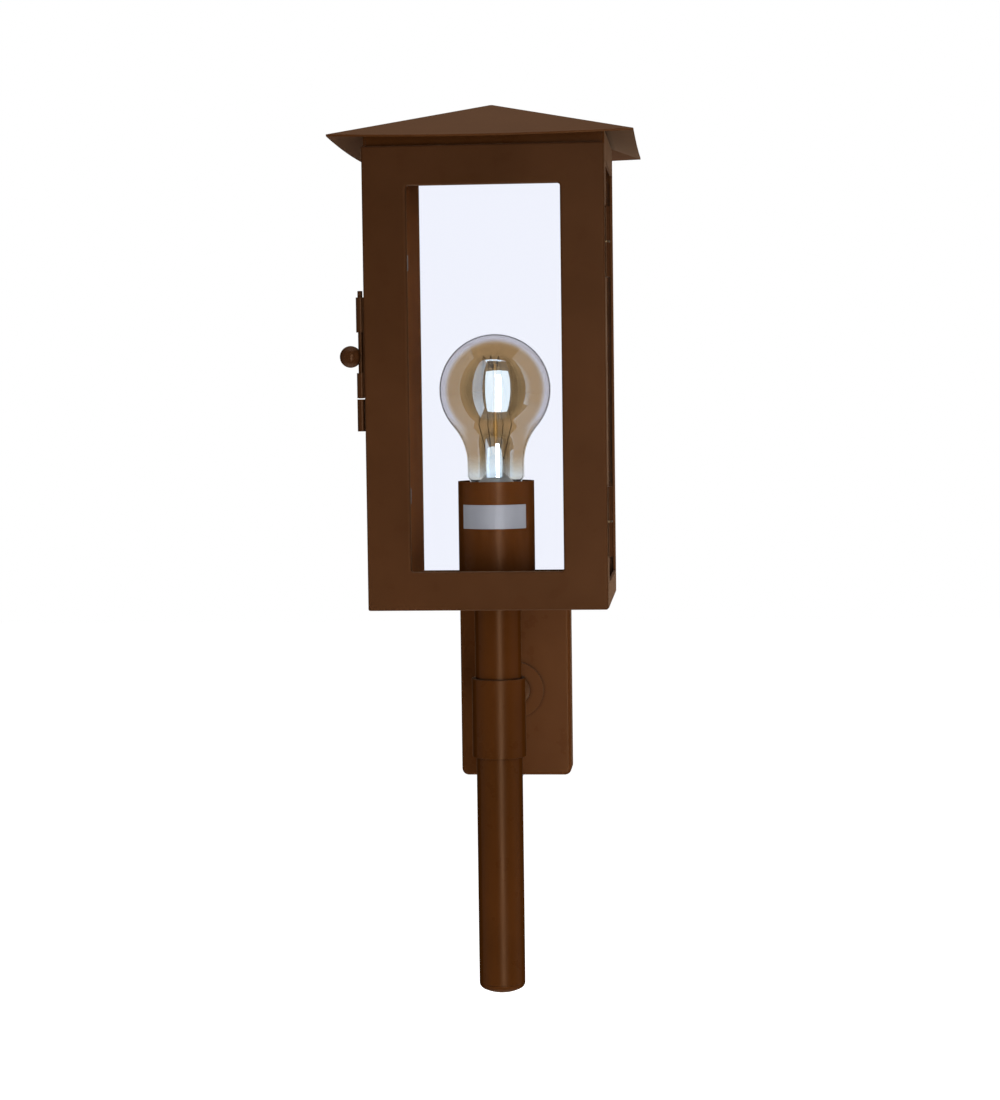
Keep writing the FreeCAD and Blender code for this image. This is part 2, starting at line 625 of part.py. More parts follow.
def dome():
    """Dome of the pole's end, turned from a shoulder arc and a flatter crown arc."""
    half = size.pole_diameter / 2
    shoulder = size.dome_shoulder
    rise = size.dome_height - shoulder
    hub = Vector(half - shoulder, 0, 0)
    centre = Vector(0, 0, (hub.x ** 2 - rise ** 2) / (2 * rise))
    crown = centre.z + size.dome_height
    top = Vector(half, 0, 0)
    tangent = centre + (hub - centre).normalize() * crown
    tip = Vector(0, 0, -size.dome_height)
    bow = hub + ((top - hub).normalize() + (tangent - hub).normalize()).normalize() * shoulder
    belly = centre + ((tangent - centre).normalize() + Vector(0, 0, -1)).normalize() * crown
    wire = Part.Wire([Part.makeLine(Vector(), top), Part.Arc(top, bow, tangent).toShape(),
                      Part.Arc(tangent, belly, tip).toShape(), Part.makeLine(tip, Vector())])
    return Part.Face(wire).revolve(Vector(), Vector(0, 0, 1), 360)


def pole_end_cap():
    """Plug in the pole's lower end with a dome below it."""
    cap = doc.addObject("Part::Feature", "dome")
    cap.Shape = dome()
    place(cap, y=POLE_Y, z="-size.pole_drop - size.sheet_gap")
    plug = cylinder("dome_plug", "at.pole_inside - size.seat_gap", "size.dome_plug + size.dome_height / 4",
                    y=POLE_Y, z="-size.pole_drop - size.dome_height / 4")
    piece(fuse("pole_end", cap, plug), "pole_end_cap")


PAN_X = ("-at.inner_half + size.sheet_gap", "at.inner_half - size.sheet_gap")
PAN_Y = ("at.lip_back + size.sheet_gap", "at.back_inner - size.sheet_gap")
HINGES = (("upper", "at.upper_hinge"), ("lower", "size.lower_hinge"))
NOTCH = "(size.hinge_barrel / 2 + size.hinge_notch_gap)"


def floor_pan():
    """Folded tray between the walls, with the nipple's hole."""
    floor = doc.addObject("PartDesign::Body", "floor_body")
    pan = rectangle(sketch_on(floor, "floor_outline", "XY_Plane", "0"), PAN_X, PAN_Y)
    pad(floor, "floor_block", pan, "size.floor_flange")
    round_edges(floor, "floor_bends", "size.bend", lambda b: near(b.ZMax, 0))
    inside = sketch_on(floor, "floor_hollow", "XY_Plane", "size.floor_flange")
    rectangle(inside, (f"{PAN_X[0]} + size.sheet", f"{PAN_X[1]} - size.sheet"),
              (f"{PAN_Y[0]} + size.sheet", f"{PAN_Y[1]} - size.sheet"))
    pocket(floor, "floor_inside", inside, "size.floor_flange - size.sheet")
    hole = sketch_on(floor, "floor_hole", "XY_Plane", "size.sheet")
    ring(hole, "0", "0", "size.nipple_diameter / 2 + size.seat_gap")
    pocket(floor, "floor_bore", hole, "size.sheet")
    piece(head(floor), "floor_pan")


def side_sheet():
    """Right wall before its hinge notches: a sheet with a front lip and a window."""
    wall = doc.addObject("PartDesign::Body", "side_wall")
    web = sketch_on(wall, "side_web", "XY_Plane", "0")
    rectangle(web, ("at.inner_half", "at.half_width"), ("at.front", "at.back"))
    pad(wall, "side_sheet", web, "at.wall_top")
    lip = sketch_on(wall, "side_lip", "XY_Plane", "0")
    rectangle(lip, ("at.half_width - size.lip_width", "at.half_width"), ("at.front", "at.lip_back"))
    pad(wall, "side_fold", lip, "at.header_foot - size.sheet_gap")
    round_edges(wall, "side_bend", "size.bend",
                lambda b: near(b.XLength, 0) and near(b.YLength, 0) and near(b.XMax, at.half_width)
                and near(b.YMax, at.front))
    window = sketch_on(wall, "side_window", "YZ_Plane", "at.half_width")
    rectangle(window, ("at.side_window_front", "at.side_window_back"),
              ("size.wall_sill", "at.wall_window_top"))
    pocket(wall, "side_opening", window, "2 * size.sheet")
    return head(wall)


def hinge_notches(name, y):
    """Boxes cut from door or wall so that each hinge has room to turn."""
    made = []
    for level, foot in HINGES:
        spans = (f"{POLE_Y} + {y[0]}", f"{POLE_Y} + {y[1]}")
        foot_z = f"{FLOOR_Z} + {foot} - size.hinge_notch_gap"
        inner_x = "at.leaf_out - size.sheet - size.hinge_notch_gap"
        top_z = f"{foot_z} + at.hinge_length + 2 * size.hinge_notch_gap"
        made.append(box(f"{name}_{level}", (inner_x, "at.hinge_x"), spans, (foot_z, top_z)))
    return made


def side_walls():
    """Right wall with hinge notches and left wall as its mirror image without them."""
    wall = side_sheet()
    notches = hinge_notches("wall_notch", ("at.front - size.bend", f"at.hinge_y + {NOTCH}"))
    piece(cut("right_side", wall, *notches), "right_wall")
    left_side = doc.addObject("Part::Mirroring", "left_side")
    left_side.Source = wall
    left_side.Normal = Vector(1, 0, 0)
    piece(left_side, "left_wall")


def back_wall():
    """Flat sheet with a window, welded between the side walls."""
    wall = doc.addObject("PartDesign::Body", "back_body")
    sheet_area = sketch_on(wall, "back_outline", "XZ_Plane", "-at.back")
    rectangle(sheet_area, PAN_X, ("0", "at.wall_top"))
    pad(wall, "back_sheet", sheet_area, "size.sheet")
    window = sketch_on(wall, "back_window", "XZ_Plane", "-at.back")
    rectangle(window, ("-at.back_window", "at.back_window"), ("size.wall_sill", "at.wall_window_top"))
    pocket(wall, "back_opening", window, "2 * size.sheet", True)
    piece(head(wall), "back_wall")


def front_header():
    """Strip across the front that follows the roof, with a top folded back."""
    header = doc.addObject("PartDesign::Body", "header_body")
    half = "(at.inner_half - size.sheet_gap)"
    face = sketch_on(header, "header_outline", "XZ_Plane", "-at.lip_back")
    outline(face, [(f"-{half}", "at.header_foot"), (half, "at.header_foot"), (half, "at.wall_top"),
                   ("-at.front", "at.header_top"), ("at.front", "at.header_top"),
                   (f"-{half}", "at.wall_top")])
    pad(header, "header_strip", face, "size.sheet")
    fold_back = sketch_on(header, "header_fold", "XY_Plane", "at.header_top - size.sheet")
    rectangle(fold_back, ("at.front + size.header_flange", "-at.front - size.header_flange"),
              ("at.front", "at.front + size.header_flange"))
    pad(header, "header_flange", fold_back, "size.sheet")
    piece(head(header), "front_header")


def roof_slope(quarter, drop):
    """One ruled side of the pyramid between its bowed eave and the blunt apex."""
    half = at.roof_half
    flat = size.apex_flat / 2
    top = size.roof_rise - drop
    eave = Part.Arc(Vector(-half, -half, -drop), Vector(0, -half, -size.eave_sag - drop),
                    Vector(half, -half, -drop)).toShape()
    ridge = Part.makeLine(Vector(-flat, -flat, top), Vector(flat, -flat, top))
    slope = Part.makeRuledSurface(eave, ridge)
    slope.Placement = FreeCAD.Placement(Vector(), FreeCAD.Rotation(Vector(0, 0, 1), 90 * quarter))
    return slope


def apex_face(drop):
    """Small flat that closes the pyramid's top."""
    flat = size.apex_flat / 2
    top = size.roof_rise - drop
    corners = [Vector(x * flat, y * flat, top) for x, y in ((-1, -1), (1, -1), (1, 1), (-1, 1), (-1, -1))]
    return Part.Face(Part.makePolygon(corners))


def lowest_edge(slope):
    """A slope's eave."""
    return min(slope.Edges, key=lambda edge: edge.BoundBox.ZMin)


def roof():
    """Pyramid sheet whose eaves hang a little lower in the middle."""
    faces = []
    for quarter in range(4):
        upper = roof_slope(quarter, 0.0)
        lower = roof_slope(quarter, size.roof_sheet)
        rim = Part.makeRuledSurface(lowest_edge(upper), lowest_edge(lower))
        faces += upper.Faces + lower.Faces + rim.Faces
    faces += [apex_face(0.0), apex_face(size.roof_sheet)]
    shell = Part.makeShell(faces)
    shell.sewShape()
    solid = Part.makeSolid(shell)
    if solid.Volume < 0:
        solid.reverse()
    sheet = doc.addObject("Part::Feature", "roof_body")
    sheet.Shape = solid
    piece(place(sheet, y=POLE_Y, z=f"{FLOOR_Z} + at.eave_height"), "roof")


def pane(name, x, y, z):
    """Flat piece between pairs of formulas measured from the lantern's foot."""
    return box(name, x, [f"{POLE_Y} + {value}" for value in y], [f"{FLOOR_Z} + {value}" for value in z])


def wall_panes():
    """Panes of the three walls, standing on the floor pan's flanges."""
    along = ("at.side_window_front - size.glass_lap", "at.back_inner - size.glass_gap")
    upright = ("at.pane_foot", "at.pane_top")
    piece(pane("right_pane", ("at.side_pane_in", "at.side_pane_out"), along, upright), "right_glass")
    piece(pane("left_pane", ("-at.side_pane_out", "-at.side_pane_in"), along, upright), "left_glass")
    across = ("-at.back_window - size.glass_lap", "at.back_window + size.glass_lap")
    deep = ("at.back_pane_out - size.glass", "at.back_pane_out")
    piece(pane("back_pane", across, deep, upright), "back_glass")


WALL_RISE = "size.glass_gap * 2 + size.glass"
UP_FROM_RIGHT = FreeCAD.Rotation(Vector(0, 0, -1), Vector(-1, 0, 0), Vector(0, 1, 0), "XYZ")
UP_FROM_LEFT = FreeCAD.Rotation(Vector(0, 0, -1), Vector(1, 0, 0), Vector(0, -1, 0), "XYZ")
UP_FROM_BACK = FreeCAD.Rotation(Vector(0, 0, -1), Vector(0, -1, 0), Vector(-1, 0, 0), "XYZ")
SIDE_MIDDLE = "(at.side_window_front + at.side_window_back) / 2"
CLIP_SHIFTS = ("-size.clip_spacing / 2", "size.clip_spacing / 2")


def step_clip(name, rise, turn, x, y, z):
    """Folded clip: a foot on the sheet, a step and a finger over the pane's edge.

    Its own frame has the sheet at Y = 0, the pane's edge at X = 0 and the pane at
    positive X. It is turned and placed on the lantern.
    """
    clip = doc.addObject("PartDesign::Body", name)
    profile = sketch_on(clip, name + "_profile", "XY_Plane", "-size.clip_width / 2")
    step = "size.clip_sheet"
    gap = "size.glass_gap"
    foot = f"-size.clip_foot - {gap}"
    outline(profile, [(foot, "0"), (f"-{gap}", "0"), (f"-{gap}", rise), ("size.clip_finger", rise),
                      ("size.clip_finger", f"{rise} + {step}"), (f"-{gap} - {step}", f"{rise} + {step}"),
                      (f"-{gap} - {step}", step), (foot, step)])
    pad(clip, name + "_strip", profile, "size.clip_width")
    return place(clip, x, f"{POLE_Y} + {y}", f"{FLOOR_Z} + {z}", turn)


def pane_top_clips():
    """Two clips at the top of each wall pane."""
    clips = []
    sheet_x = "at.inner_half - size.seat_gap"
    for index, shift in enumerate(CLIP_SHIFTS):
        along = f"{SIDE_MIDDLE} + ({shift})"
        clips.append(step_clip(f"right_clip_{index}", WALL_RISE, UP_FROM_RIGHT, sheet_x, along,
                               "at.pane_top"))
        clips.append(step_clip(f"left_clip_{index}", WALL_RISE, UP_FROM_LEFT, f"-({sheet_x})", along,
                               "at.pane_top"))
        clips.append(step_clip(f"back_clip_{index}", WALL_RISE, UP_FROM_BACK, shift,
                               "at.back_inner - size.seat_gap", "at.pane_top"))
    piece(group("pane_clips", *clips), "pane_top_clips")


def floor_foot(name, upright_x, upright_y, flat_x, flat_y):
    """Angle on the floor pan: an upright plate behind the pane and a flat foot."""
    top = "size.sheet + size.floor_flange + size.clip_foot / 2"
    upright = pane(name + "_upright", upright_x, upright_y, ("size.sheet", top))
    flat = pane(name + "_flat", flat_x, flat_y, ("size.sheet", "size.sheet + size.clip_sheet"))
    return fuse(name, upright, flat)


def pane_foot_clips():
    """Two angles at the foot of each wall pane."""
    side = "at.side_pane_in - size.glass_gap"
    rear = "at.back_pane_out - size.glass - size.glass_gap"
    feet = []
    for index, shift in enumerate(CLIP_SHIFTS):
        span = grown([f"{SIDE_MIDDLE} + ({shift})"] * 2, "size.clip_width / 2")
        spread = grown([f"({shift})"] * 2, "size.clip_width / 2")
        feet.append(floor_foot(f"right_foot_{index}", (f"{side} - size.clip_sheet", side), span,
                               (f"{side} - size.clip_foot", side), span))
        feet.append(floor_foot(f"left_foot_{index}", (f"-({side})", f"-({side}) + size.clip_sheet"), span,
                               (f"-({side})", f"-({side}) + size.clip_foot"), span))
        feet.append(floor_foot(f"back_foot_{index}", spread, (f"{rear} - size.clip_sheet", rear), spread,
                               (f"{rear} - size.clip_foot", rear)))
    piece(group("pane_feet", *feet), "pane_foot_clips")


DOOR_X = ("-at.half_width", "at.half_width")
DOOR_Z = ("0", "size.door_height")
WINDOW_X = ("-size.window_width / 2", "size.window_width / 2")
WINDOW_Z = ("size.window_sill", "at.window_top")


def grown(span, by):
    """A pair of formulas moved apart by a formula."""
    return (f"{span[0]} - {by}", f"{span[1]} + {by}")


def door_pan(door):
    """Outside of the door and the channel inside it that the folded edges leave."""
    leaf = rectangle(sketch_on(door, "door_outline", "XZ_Plane", "-at.door_rim"), DOOR_X, DOOR_Z)
    pad(door, "door_block", leaf, "size.door_depth")
    round_edges(door, "door_corners", "size.bend", runs_along_y)
    round_edges(door, "door_edges", "size.bend", lambda b: near(b.YMax, at.door_face))
    channel = sketch_on(door, "door_channel", "XZ_Plane", "-at.door_rim")
    rectangle(channel, grown(DOOR_X, "(-size.sheet)"), grown(DOOR_Z, "(-size.sheet)"))
    rectangle(channel, grown(WINDOW_X, "size.sheet"), grown(WINDOW_Z, "size.sheet"))
    pocket(door, "door_inside", channel, "size.door_depth - size.sheet", True)


def door_window(door):
    """Window with a shallow folded edge, on which the pane lies."""
    rebate = sketch_on(door, "door_rebate", "XZ_Plane", "-at.door_rim")
    rectangle(rebate, grown(WINDOW_X, "2 * size.sheet"), grown(WINDOW_Z, "2 * size.sheet"))
    pocket(door, "door_low_return", rebate, "size.door_depth - size.window_return", True)
    opening = rectangle(sketch_on(door, "door_window", "XZ_Plane", "-at.door_rim"), WINDOW_X, WINDOW_Z)
    pocket(door, "door_opening", opening, "2 * size.door_depth", True)
    round_edges(door, "door_window_corners", "size.window_corner",
                lambda b: runs_along_y(b) and near(abs(b.XMax), size.window_width / 2))
    round_edges(door, "door_window_bend", "size.bend",
                lambda b: near(b.YMin, at.door_face) and near(b.YMax, at.door_face)
                and max(abs(b.XMin), abs(b.XMax)) < size.window_width / 2 + size.sheet
                and b.ZMin > size.window_sill - size.sheet)


def door_frame():
    """Door folded from one sheet, with notches for its hinges."""
    door = doc.addObject("PartDesign::Body", "door_body")
    door_pan(door)
    door_window(door)
    notches = hinge_notches("door_notch", (f"at.hinge_y - {NOTCH}", "at.door_rim + size.bend"))
    piece(cut("door_leaf", head(door), *notches), "door_frame")


DOOR_PANE_X = grown(WINDOW_X, "size.glass_lap")
FROM_RIGHT_STILE = FreeCAD.Rotation(Vector(-1, 0, 0), Vector(0, 1, 0), Vector(0, 0, -1), "XYZ")
FROM_LEFT_STILE = FreeCAD.Rotation()


def door_glass():
    """Pane behind the door's window."""
    deep = ("at.door_pane_front", "at.door_pane_back")
    piece(pane("door_pane", DOOR_PANE_X, deep, grown(WINDOW_Z, "size.glass_lap")), "door_glass")


def door_glass_clips():
    """Clips on the inside of the door's face, two beside each upright edge of the pane."""
    rise = "(size.window_return + size.glass_gap + size.glass + size.seat_gap - size.sheet)"
    inside = "at.door_face + size.sheet"
    clips = []
    for index, shift in enumerate(CLIP_SHIFTS):
        level = f"(size.window_sill + at.window_top) / 2 + 2 * ({shift})"
        clips.append(step_clip(f"door_right_clip_{index}", rise, FROM_RIGHT_STILE,
                               DOOR_PANE_X[1], inside, level))
        clips.append(step_clip(f"door_left_clip_{index}", rise, FROM_LEFT_STILE,
                               DOOR_PANE_X[0], inside, level))
    piece(group("door_clips", *clips), "door_glass_clips")


HINGE_Y = f"{POLE_Y} + at.hinge_y"


def hinge_knuckle(name, foot, bore, web_y, leaf_y):
    """Knuckle with a leaf that lies on the inside of the door's or wall's side."""
    z = f"{FLOOR_Z} + {foot}"
    span = (z, f"{z} + size.knuckle")
    barrel = cylinder(name + "_barrel", "size.hinge_barrel / 2", "size.knuckle", "at.hinge_x", HINGE_Y, z)
    web = box(name + "_web", ("at.leaf_out - size.sheet", "at.hinge_x"), web_y, span)
    plate = box(name + "_leaf", ("at.leaf_out - size.sheet", "at.leaf_out"), leaf_y, span)
    hole = cylinder(name + "_bore", bore, "size.knuckle", "at.hinge_x", HINGE_Y, z)
    return cut(name, fuse(name + "_solid", barrel, web, plate), hole)


def hinge_wall_knuckles():
    """Lower knuckle of each hinge, on the wall, in which the pin is pressed."""
    near_y = f"{HINGE_Y} + size.parting_gap / 2 + size.seat_gap"
    web_y = (near_y, f"{near_y} + size.sheet")
    leaf_y = (near_y, f"{near_y} + size.hinge_leaf")
    bore = "size.hinge_pin / 2 + size.seat_gap"
    made = [hinge_knuckle(f"wall_knuckle_{level}", foot, bore, web_y, leaf_y) for level, foot in HINGES]
    piece(group("wall_hinges", *made), "hinge_wall_knuckles")


def hinge_door_knuckles():
    """Upper knuckle of each hinge, on the door, which turns on the pin."""
    near_y = f"{HINGE_Y} - size.parting_gap / 2 - size.seat_gap"
    web_y = (f"{near_y} - size.sheet", near_y)
    leaf_y = (f"{POLE_Y} + at.door_face + size.sheet + size.seat_gap", near_y)
    bore = "size.hinge_pin / 2 + size.running_gap"
    lift = "size.knuckle + size.hinge_washer + 2 * size.hinge_play"
    made = [hinge_knuckle(f"door_knuckle_{level}", f"{foot} + {lift}", bore, web_y, leaf_y)
            for level, foot in HINGES]
    piece(group("door_hinges", *made), "hinge_door_knuckles")


def hinge_pins():
    """Pin through both knuckles of each hinge."""
    pins = [cylinder(f"hinge_pin_{level}", "size.hinge_pin / 2", "at.hinge_length", "at.hinge_x", HINGE_Y,
                     f"{FLOOR_Z} + {foot}") for level, foot in HINGES]
    piece(group("hinge_rods", *pins), "hinge_pins")


def hinge_washers():
    """Washer between the knuckles of each hinge."""
    washers = []
    for level, foot in HINGES:
        seat = f"{FLOOR_Z} + {foot} + size.knuckle + size.hinge_play / 2"
        disc = cylinder(f"washer_{level}", "size.hinge_barrel / 2", "size.hinge_washer", "at.hinge_x",
                        HINGE_Y, seat)
        hole = cylinder(f"washer_hole_{level}", "size.hinge_pin / 2 + size.running_gap",
                        "size.hinge_washer", "at.hinge_x", HINGE_Y, seat)
        washers.append(cut(f"hinge_washer_{level}", disc, hole))
    piece(group("hinge_rings", *washers), "hinge_washers")


LATCH_Y = f"{POLE_Y} + at.latch_y"
GUIDE_FOOT = "at.keeper_top + size.latch_gap"
PIN_TIP = "at.keeper_top + size.latch_tip_gap"


def latch_barrel(name, foot, length, bore):
    """Barrel, its root towards the lantern and the hole for the pin."""
    z = f"{FLOOR_Z} + {foot}"
    barrel = cylinder(name + "_barrel", "size.latch_barrel / 2", length, "at.latch_x", LATCH_Y, z)
    root = box(name + "_root", ("at.latch_x", "-at.half_width"),
               grown([LATCH_Y] * 2, "size.latch_barrel / 4"), (z, f"{z} + {length}"))
    hole = cylinder(name + "_bore", bore, length, "at.latch_x", LATCH_Y, z)
    return barrel, root, hole


def latch_guides():
    """Two guide barrels on one base plate on the door's free edge."""
    bore = "size.latch_pin / 2 + size.running_gap"
    lower = latch_barrel("guide_lower", GUIDE_FOOT, "size.lower_guide", bore)
    upper = latch_barrel("guide_upper", "at.upper_guide_foot", "size.upper_guide", bore)
    plate_out = "-at.half_width - (size.latch_barrel - size.latch_pin) / 2 + size.latch_plate_gap"
    plate = box("guide_plate", (plate_out, "-at.half_width"), grown([LATCH_Y] * 2, "size.latch_barrel / 2"),
                (f"{FLOOR_Z} + {GUIDE_FOOT}", f"{FLOOR_Z} + at.upper_guide_foot + size.upper_guide"))
    solid = fuse("guide_solid", plate, lower[0], lower[1], upper[0], upper[1])
    piece(cut("guides", solid, lower[2], upper[2]), "latch_guides")


def latch_keeper():
    """Barrel below the guides on a strap that is fixed to the wall behind the door."""
    barrel, root, hole = latch_barrel("keeper", "size.keeper_base", "size.keeper_length",
                                      "size.latch_pin / 2 + size.keeper_play")
    upright = (f"{FLOOR_Z} + size.keeper_base", f"{FLOOR_Z} + at.keeper_top")
    front = f"{POLE_Y} + at.front"
    inner = "-at.half_width - size.parting_gap"
    strap = box("keeper_strap", (f"{inner} - size.sheet", inner),
                (LATCH_Y, f"{front} + size.keeper_strap"), upright)
    foot = box("keeper_pad", (f"{inner} - size.sheet", "-at.half_width"),
               (f"{front} + size.bend", f"{front} + size.keeper_strap"), upright)
    room = box("keeper_room", (inner, "-at.half_width + size.sheet"),
               (f"{POLE_Y} + at.door_face", f"{front} + size.bend"), upright)
    piece(cut("keeper", fuse("keeper_solid", barrel, root, strap, foot), hole, room), "latch_keeper")


def latch_pin():
    """Sliding pin, stored with its tip just above the keeper."""
    pin = cylinder("latch_rod", "size.latch_pin / 2", f"at.latch_top - ({PIN_TIP})", "at.latch_x", LATCH_Y,
                   f"{FLOOR_Z} + {PIN_TIP}")
    piece(pin, "latch_pin")


def latch_knob():
    """Ball on the side of the pin."""
    height = f"{FLOOR_Z} + at.knob_height"
    ball = doc.addObject("Part::Sphere", "knob_ball")
    ball.setExpression("Radius", "size.knob_diameter / 2")
    half_turn = FreeCAD.Rotation(Vector(0, 0, 1), 180)
    place(ball, "at.latch_x - size.knob_reach", LATCH_Y, height, half_turn)
    seat = cylinder("knob_seat", "size.latch_pin / 2 + size.seat_gap / 2", "size.knob_diameter",
                    "at.latch_x", LATCH_Y, f"{height} - size.knob_diameter / 2")
    flat = box("knob_flat", ("at.latch_x", "at.latch_x + size.knob_diameter"),
               grown([LATCH_Y] * 2, "size.knob_diameter"), grown([height] * 2, "size.knob_diameter"))
    piece(cut("knob", ball, seat, flat), "latch_knob")


SHELL_FOOT = "at.holder_seat + size.seat_gap"


def lampholder_cover():
    """Deep cup on the floor pan."""
    outer = "size.cover_diameter / 2"
    inner = f"{outer} - size.cover_wall"
    hole = "size.nipple_diameter / 2 + size.seat_gap"
    cup = turned("cover", [(hole, "at.cover_floor"), (outer, "at.cover_floor"), (outer, "size.cover_top"),
                           (inner, "size.cover_top"), (inner, "at.cover_inside"), (hole, "at.cover_inside")])
    piece(cup, "lampholder_cover")


def threaded_nipple():
    """Hollow bolt that clamps cover, floor and pole plug together."""
    foot = f"{POLE_TOP} - size.pole_plug"
    length = "size.pole_plug + size.sheet_gap + at.cover_inside + size.nipple_rise"
    bar = cylinder("nipple_bar", "size.nipple_diameter / 2", length, y=POLE_Y, z=foot)
    bore = cylinder("nipple_bore", "size.nipple_bore / 2", length, y=POLE_Y, z=foot)
    piece(cut("nipple", bar, bore), "threaded_nipple")


def nipple_nut():
    """Nut on the nipple inside the cover."""
    nut = hex_nut("holder_nut", "size.nut_width", "size.nut_thickness",
                  "size.nipple_diameter / 2 + size.seat_gap", y=POLE_Y,
                  z=f"{FLOOR_Z} + at.cover_inside + size.sheet_gap")
    piece(nut, "nipple_nut")


def lampholder_body():
    """Porcelain with a wire chamber below and room for the screw shell above."""
    hole = "size.nipple_diameter / 2 + size.seat_gap"
    wire_hole = "size.contact_width / 2"
    seat = "at.shell_out + size.seat_gap"
    chamber = "at.holder_foot + size.cover_wall"
    chamber_top = "at.holder_foot + size.wire_chamber_height"
    porcelain = turned("porcelain", [
        (hole, "at.holder_foot"), ("at.holder_radius", "at.holder_foot"),
        ("at.holder_radius", "at.holder_top"), (seat, "at.holder_top"),
        (seat, "at.holder_seat"), (wire_hole, "at.holder_seat"),
        (wire_hole, chamber_top), ("size.wire_chamber", chamber_top), ("size.wire_chamber", chamber),
        (hole, chamber)])
    piece(porcelain, "lampholder_body")


def lampholder_shell():
    """Screw shell with a turned-in foot."""
    inner = "at.shell_bore - size.shell_wall"
    floor = f"{SHELL_FOOT} + size.shell_wall"
    shell = turned("shell", [(inner, SHELL_FOOT), ("at.shell_out", SHELL_FOOT),
                             ("at.shell_out", "at.holder_top"), ("at.shell_bore", "at.holder_top"),
                             ("at.shell_bore", floor), (inner, floor)])
    piece(shell, "lampholder_shell")


def lampholder_contact():
    """Folded tongue whose free end presses on the lamp."""
    tongue = doc.addObject("PartDesign::Body", "tongue_body")
    fold = sketch_on(tongue, "tongue_profile", "XZ_Plane", "-size.contact_width / 2")
    top = "at.lamp_tip - size.contact_gap"
    reach = "size.lamp_contact"
    sheet = "size.contact_sheet"
    outline(fold, [(f"-{reach}", SHELL_FOOT), (reach, SHELL_FOOT), (reach, f"{SHELL_FOOT} + {sheet}"),
                   (f"-{reach} + {sheet}", f"{SHELL_FOOT} + {sheet}"),
                   (f"-{reach} + {sheet}", f"{top} - {sheet}"),
                   (f"{reach} / 2", f"{top} - {sheet}"), (f"{reach} / 2", top), (f"-{reach}", top)])
    pad(tongue, "tongue_strip", fold, "size.contact_width")
    piece(head(tongue), "lampholder_contact")


def feature(name, shape):
    """Sub-part whose shape is made from the sizes, stood at the lantern's foot."""
    item = doc.addObject("Part::Feature", name)
    item.Shape = shape
    return head(item)


def lamp_profile(grow):
    """Half outline of the lamp glass, from the neck's foot to the top, moved in by grow."""
    globe = size.lamp_diameter / 2 - grow
    neck = size.lamp_neck / 2 - grow
    shoulder = size.lamp_shoulder + grow
    foot = at.neck_foot - grow
    middle = Vector(0, 0, at.lamp_centre)
    hub = Vector(neck + shoulder, 0, at.shoulder_foot)
    tangent = middle + (hub - middle) * (globe / (globe + shoulder))
    half_turn = math.atan2(tangent.z - hub.z, hub.x - tangent.x)
    bow = hub + Vector(-math.cos(half_turn / 2), 0, math.sin(half_turn / 2)) * shoulder
    half_way = (math.atan2(tangent.z - middle.z, tangent.x) + math.pi / 2) / 2
    side = middle + Vector(math.cos(half_way), 0, math.sin(half_way)) * globe
    crown = middle + Vector(0, 0, globe)
    low = Vector(foot, 0, at.cap_top - size.neck_lap)
    rim = Vector(foot, 0, at.cap_top)
    taper = Vector(neck, 0, at.taper_top)
    spring = Vector(neck, 0, hub.z)
    edges = [Part.makeLine(low, rim), Part.makeLine(rim, taper), Part.makeLine(taper, spring),
             Part.Arc(spring, bow, tangent).toShape(), Part.Arc(tangent, side, crown).toShape()]
    return low, crown, edges


def lamp_envelope():
    """Thin pear-shaped glass, open at the neck's foot where the stem closes it."""
    low_out, crown_out, outer = lamp_profile(0.0)
    low_in, crown_in, inner = lamp_profile(size.lamp_wall)
    top = Part.makeLine(crown_out, crown_in)
    foot = Part.makeLine(low_in, low_out)
    wire = Part.Wire(Part.__sortEdges__(outer + [top] + inner + [foot]))
    glass = Part.Face(wire).revolve(Vector(), Vector(0, 0, 1), 360)
    piece(feature("lamp_glass", glass), "lamp_envelope")


def lamp_cap():
    """Thin screw shell with a turned-in foot."""
    outer = "size.cap_diameter / 2"
    inner = f"{outer} - size.cap_wall"
    hole = f"{outer} - 2 * size.cap_wall"
    floor = "at.cap_base + size.cap_wall"
    cap = turned("cap", [(hole, "at.cap_base"), (outer, "at.cap_base"), (outer, "at.cap_top"),
                         (inner, "at.cap_top"), (inner, floor), (hole, floor)])
    piece(cap, "lamp_cap")


def lamp_insulator():
    """Black cone between the cap and its centre contact."""
    foot = "size.insulator_foot / 2"
    rim = "size.cap_diameter / 2 - size.cap_wall"
    cone = turned("insulator", [("0", "at.insulator_base"), (foot, "at.insulator_base"),
                                (rim, "at.cap_base"), ("0", "at.cap_base")])
    piece(cone, "lamp_insulator")


def lamp_contact():
    """Centre contact with a bevelled foot."""
    half = "size.lamp_contact / 2"
    button = turned("button", [("0", "at.lamp_tip"), ("size.lamp_contact / 3", "at.lamp_tip"),
                               (half, "at.lamp_tip + size.lamp_contact_height / 2"),
                               (half, "at.insulator_base"), ("0", "at.insulator_base")])
    piece(button, "lamp_contact")


def lamp_stem():
    """Glass stem: a flared foot that closes the neck, a tube, a press and a rod."""
    foot = "at.cap_top - size.lamp_wall"
    rim = "at.neck_inside - size.seat_gap"
    tube = "size.stem_neck / 2"
    rod = "size.rod_diameter / 2"
    press = "at.stem_press - size.press_height"
    stem = turned("stem", [("0", foot), (rim, foot), (rim, "at.cap_top"), (tube, "at.flare_top"),
                           (tube, press), ("size.rod_diameter", "at.stem_press"),
                           (rod, "at.stem_press"), (rod, "at.rod_top"), ("0", "at.rod_top")])
    piece(stem, "lamp_stem")


FILAMENT_CORNERS = 4


def strut(start, end, diameter):
    """Round wire between two points."""
    run = end - start
    return Part.makeCylinder(diameter / 2, run.Length, start, run)


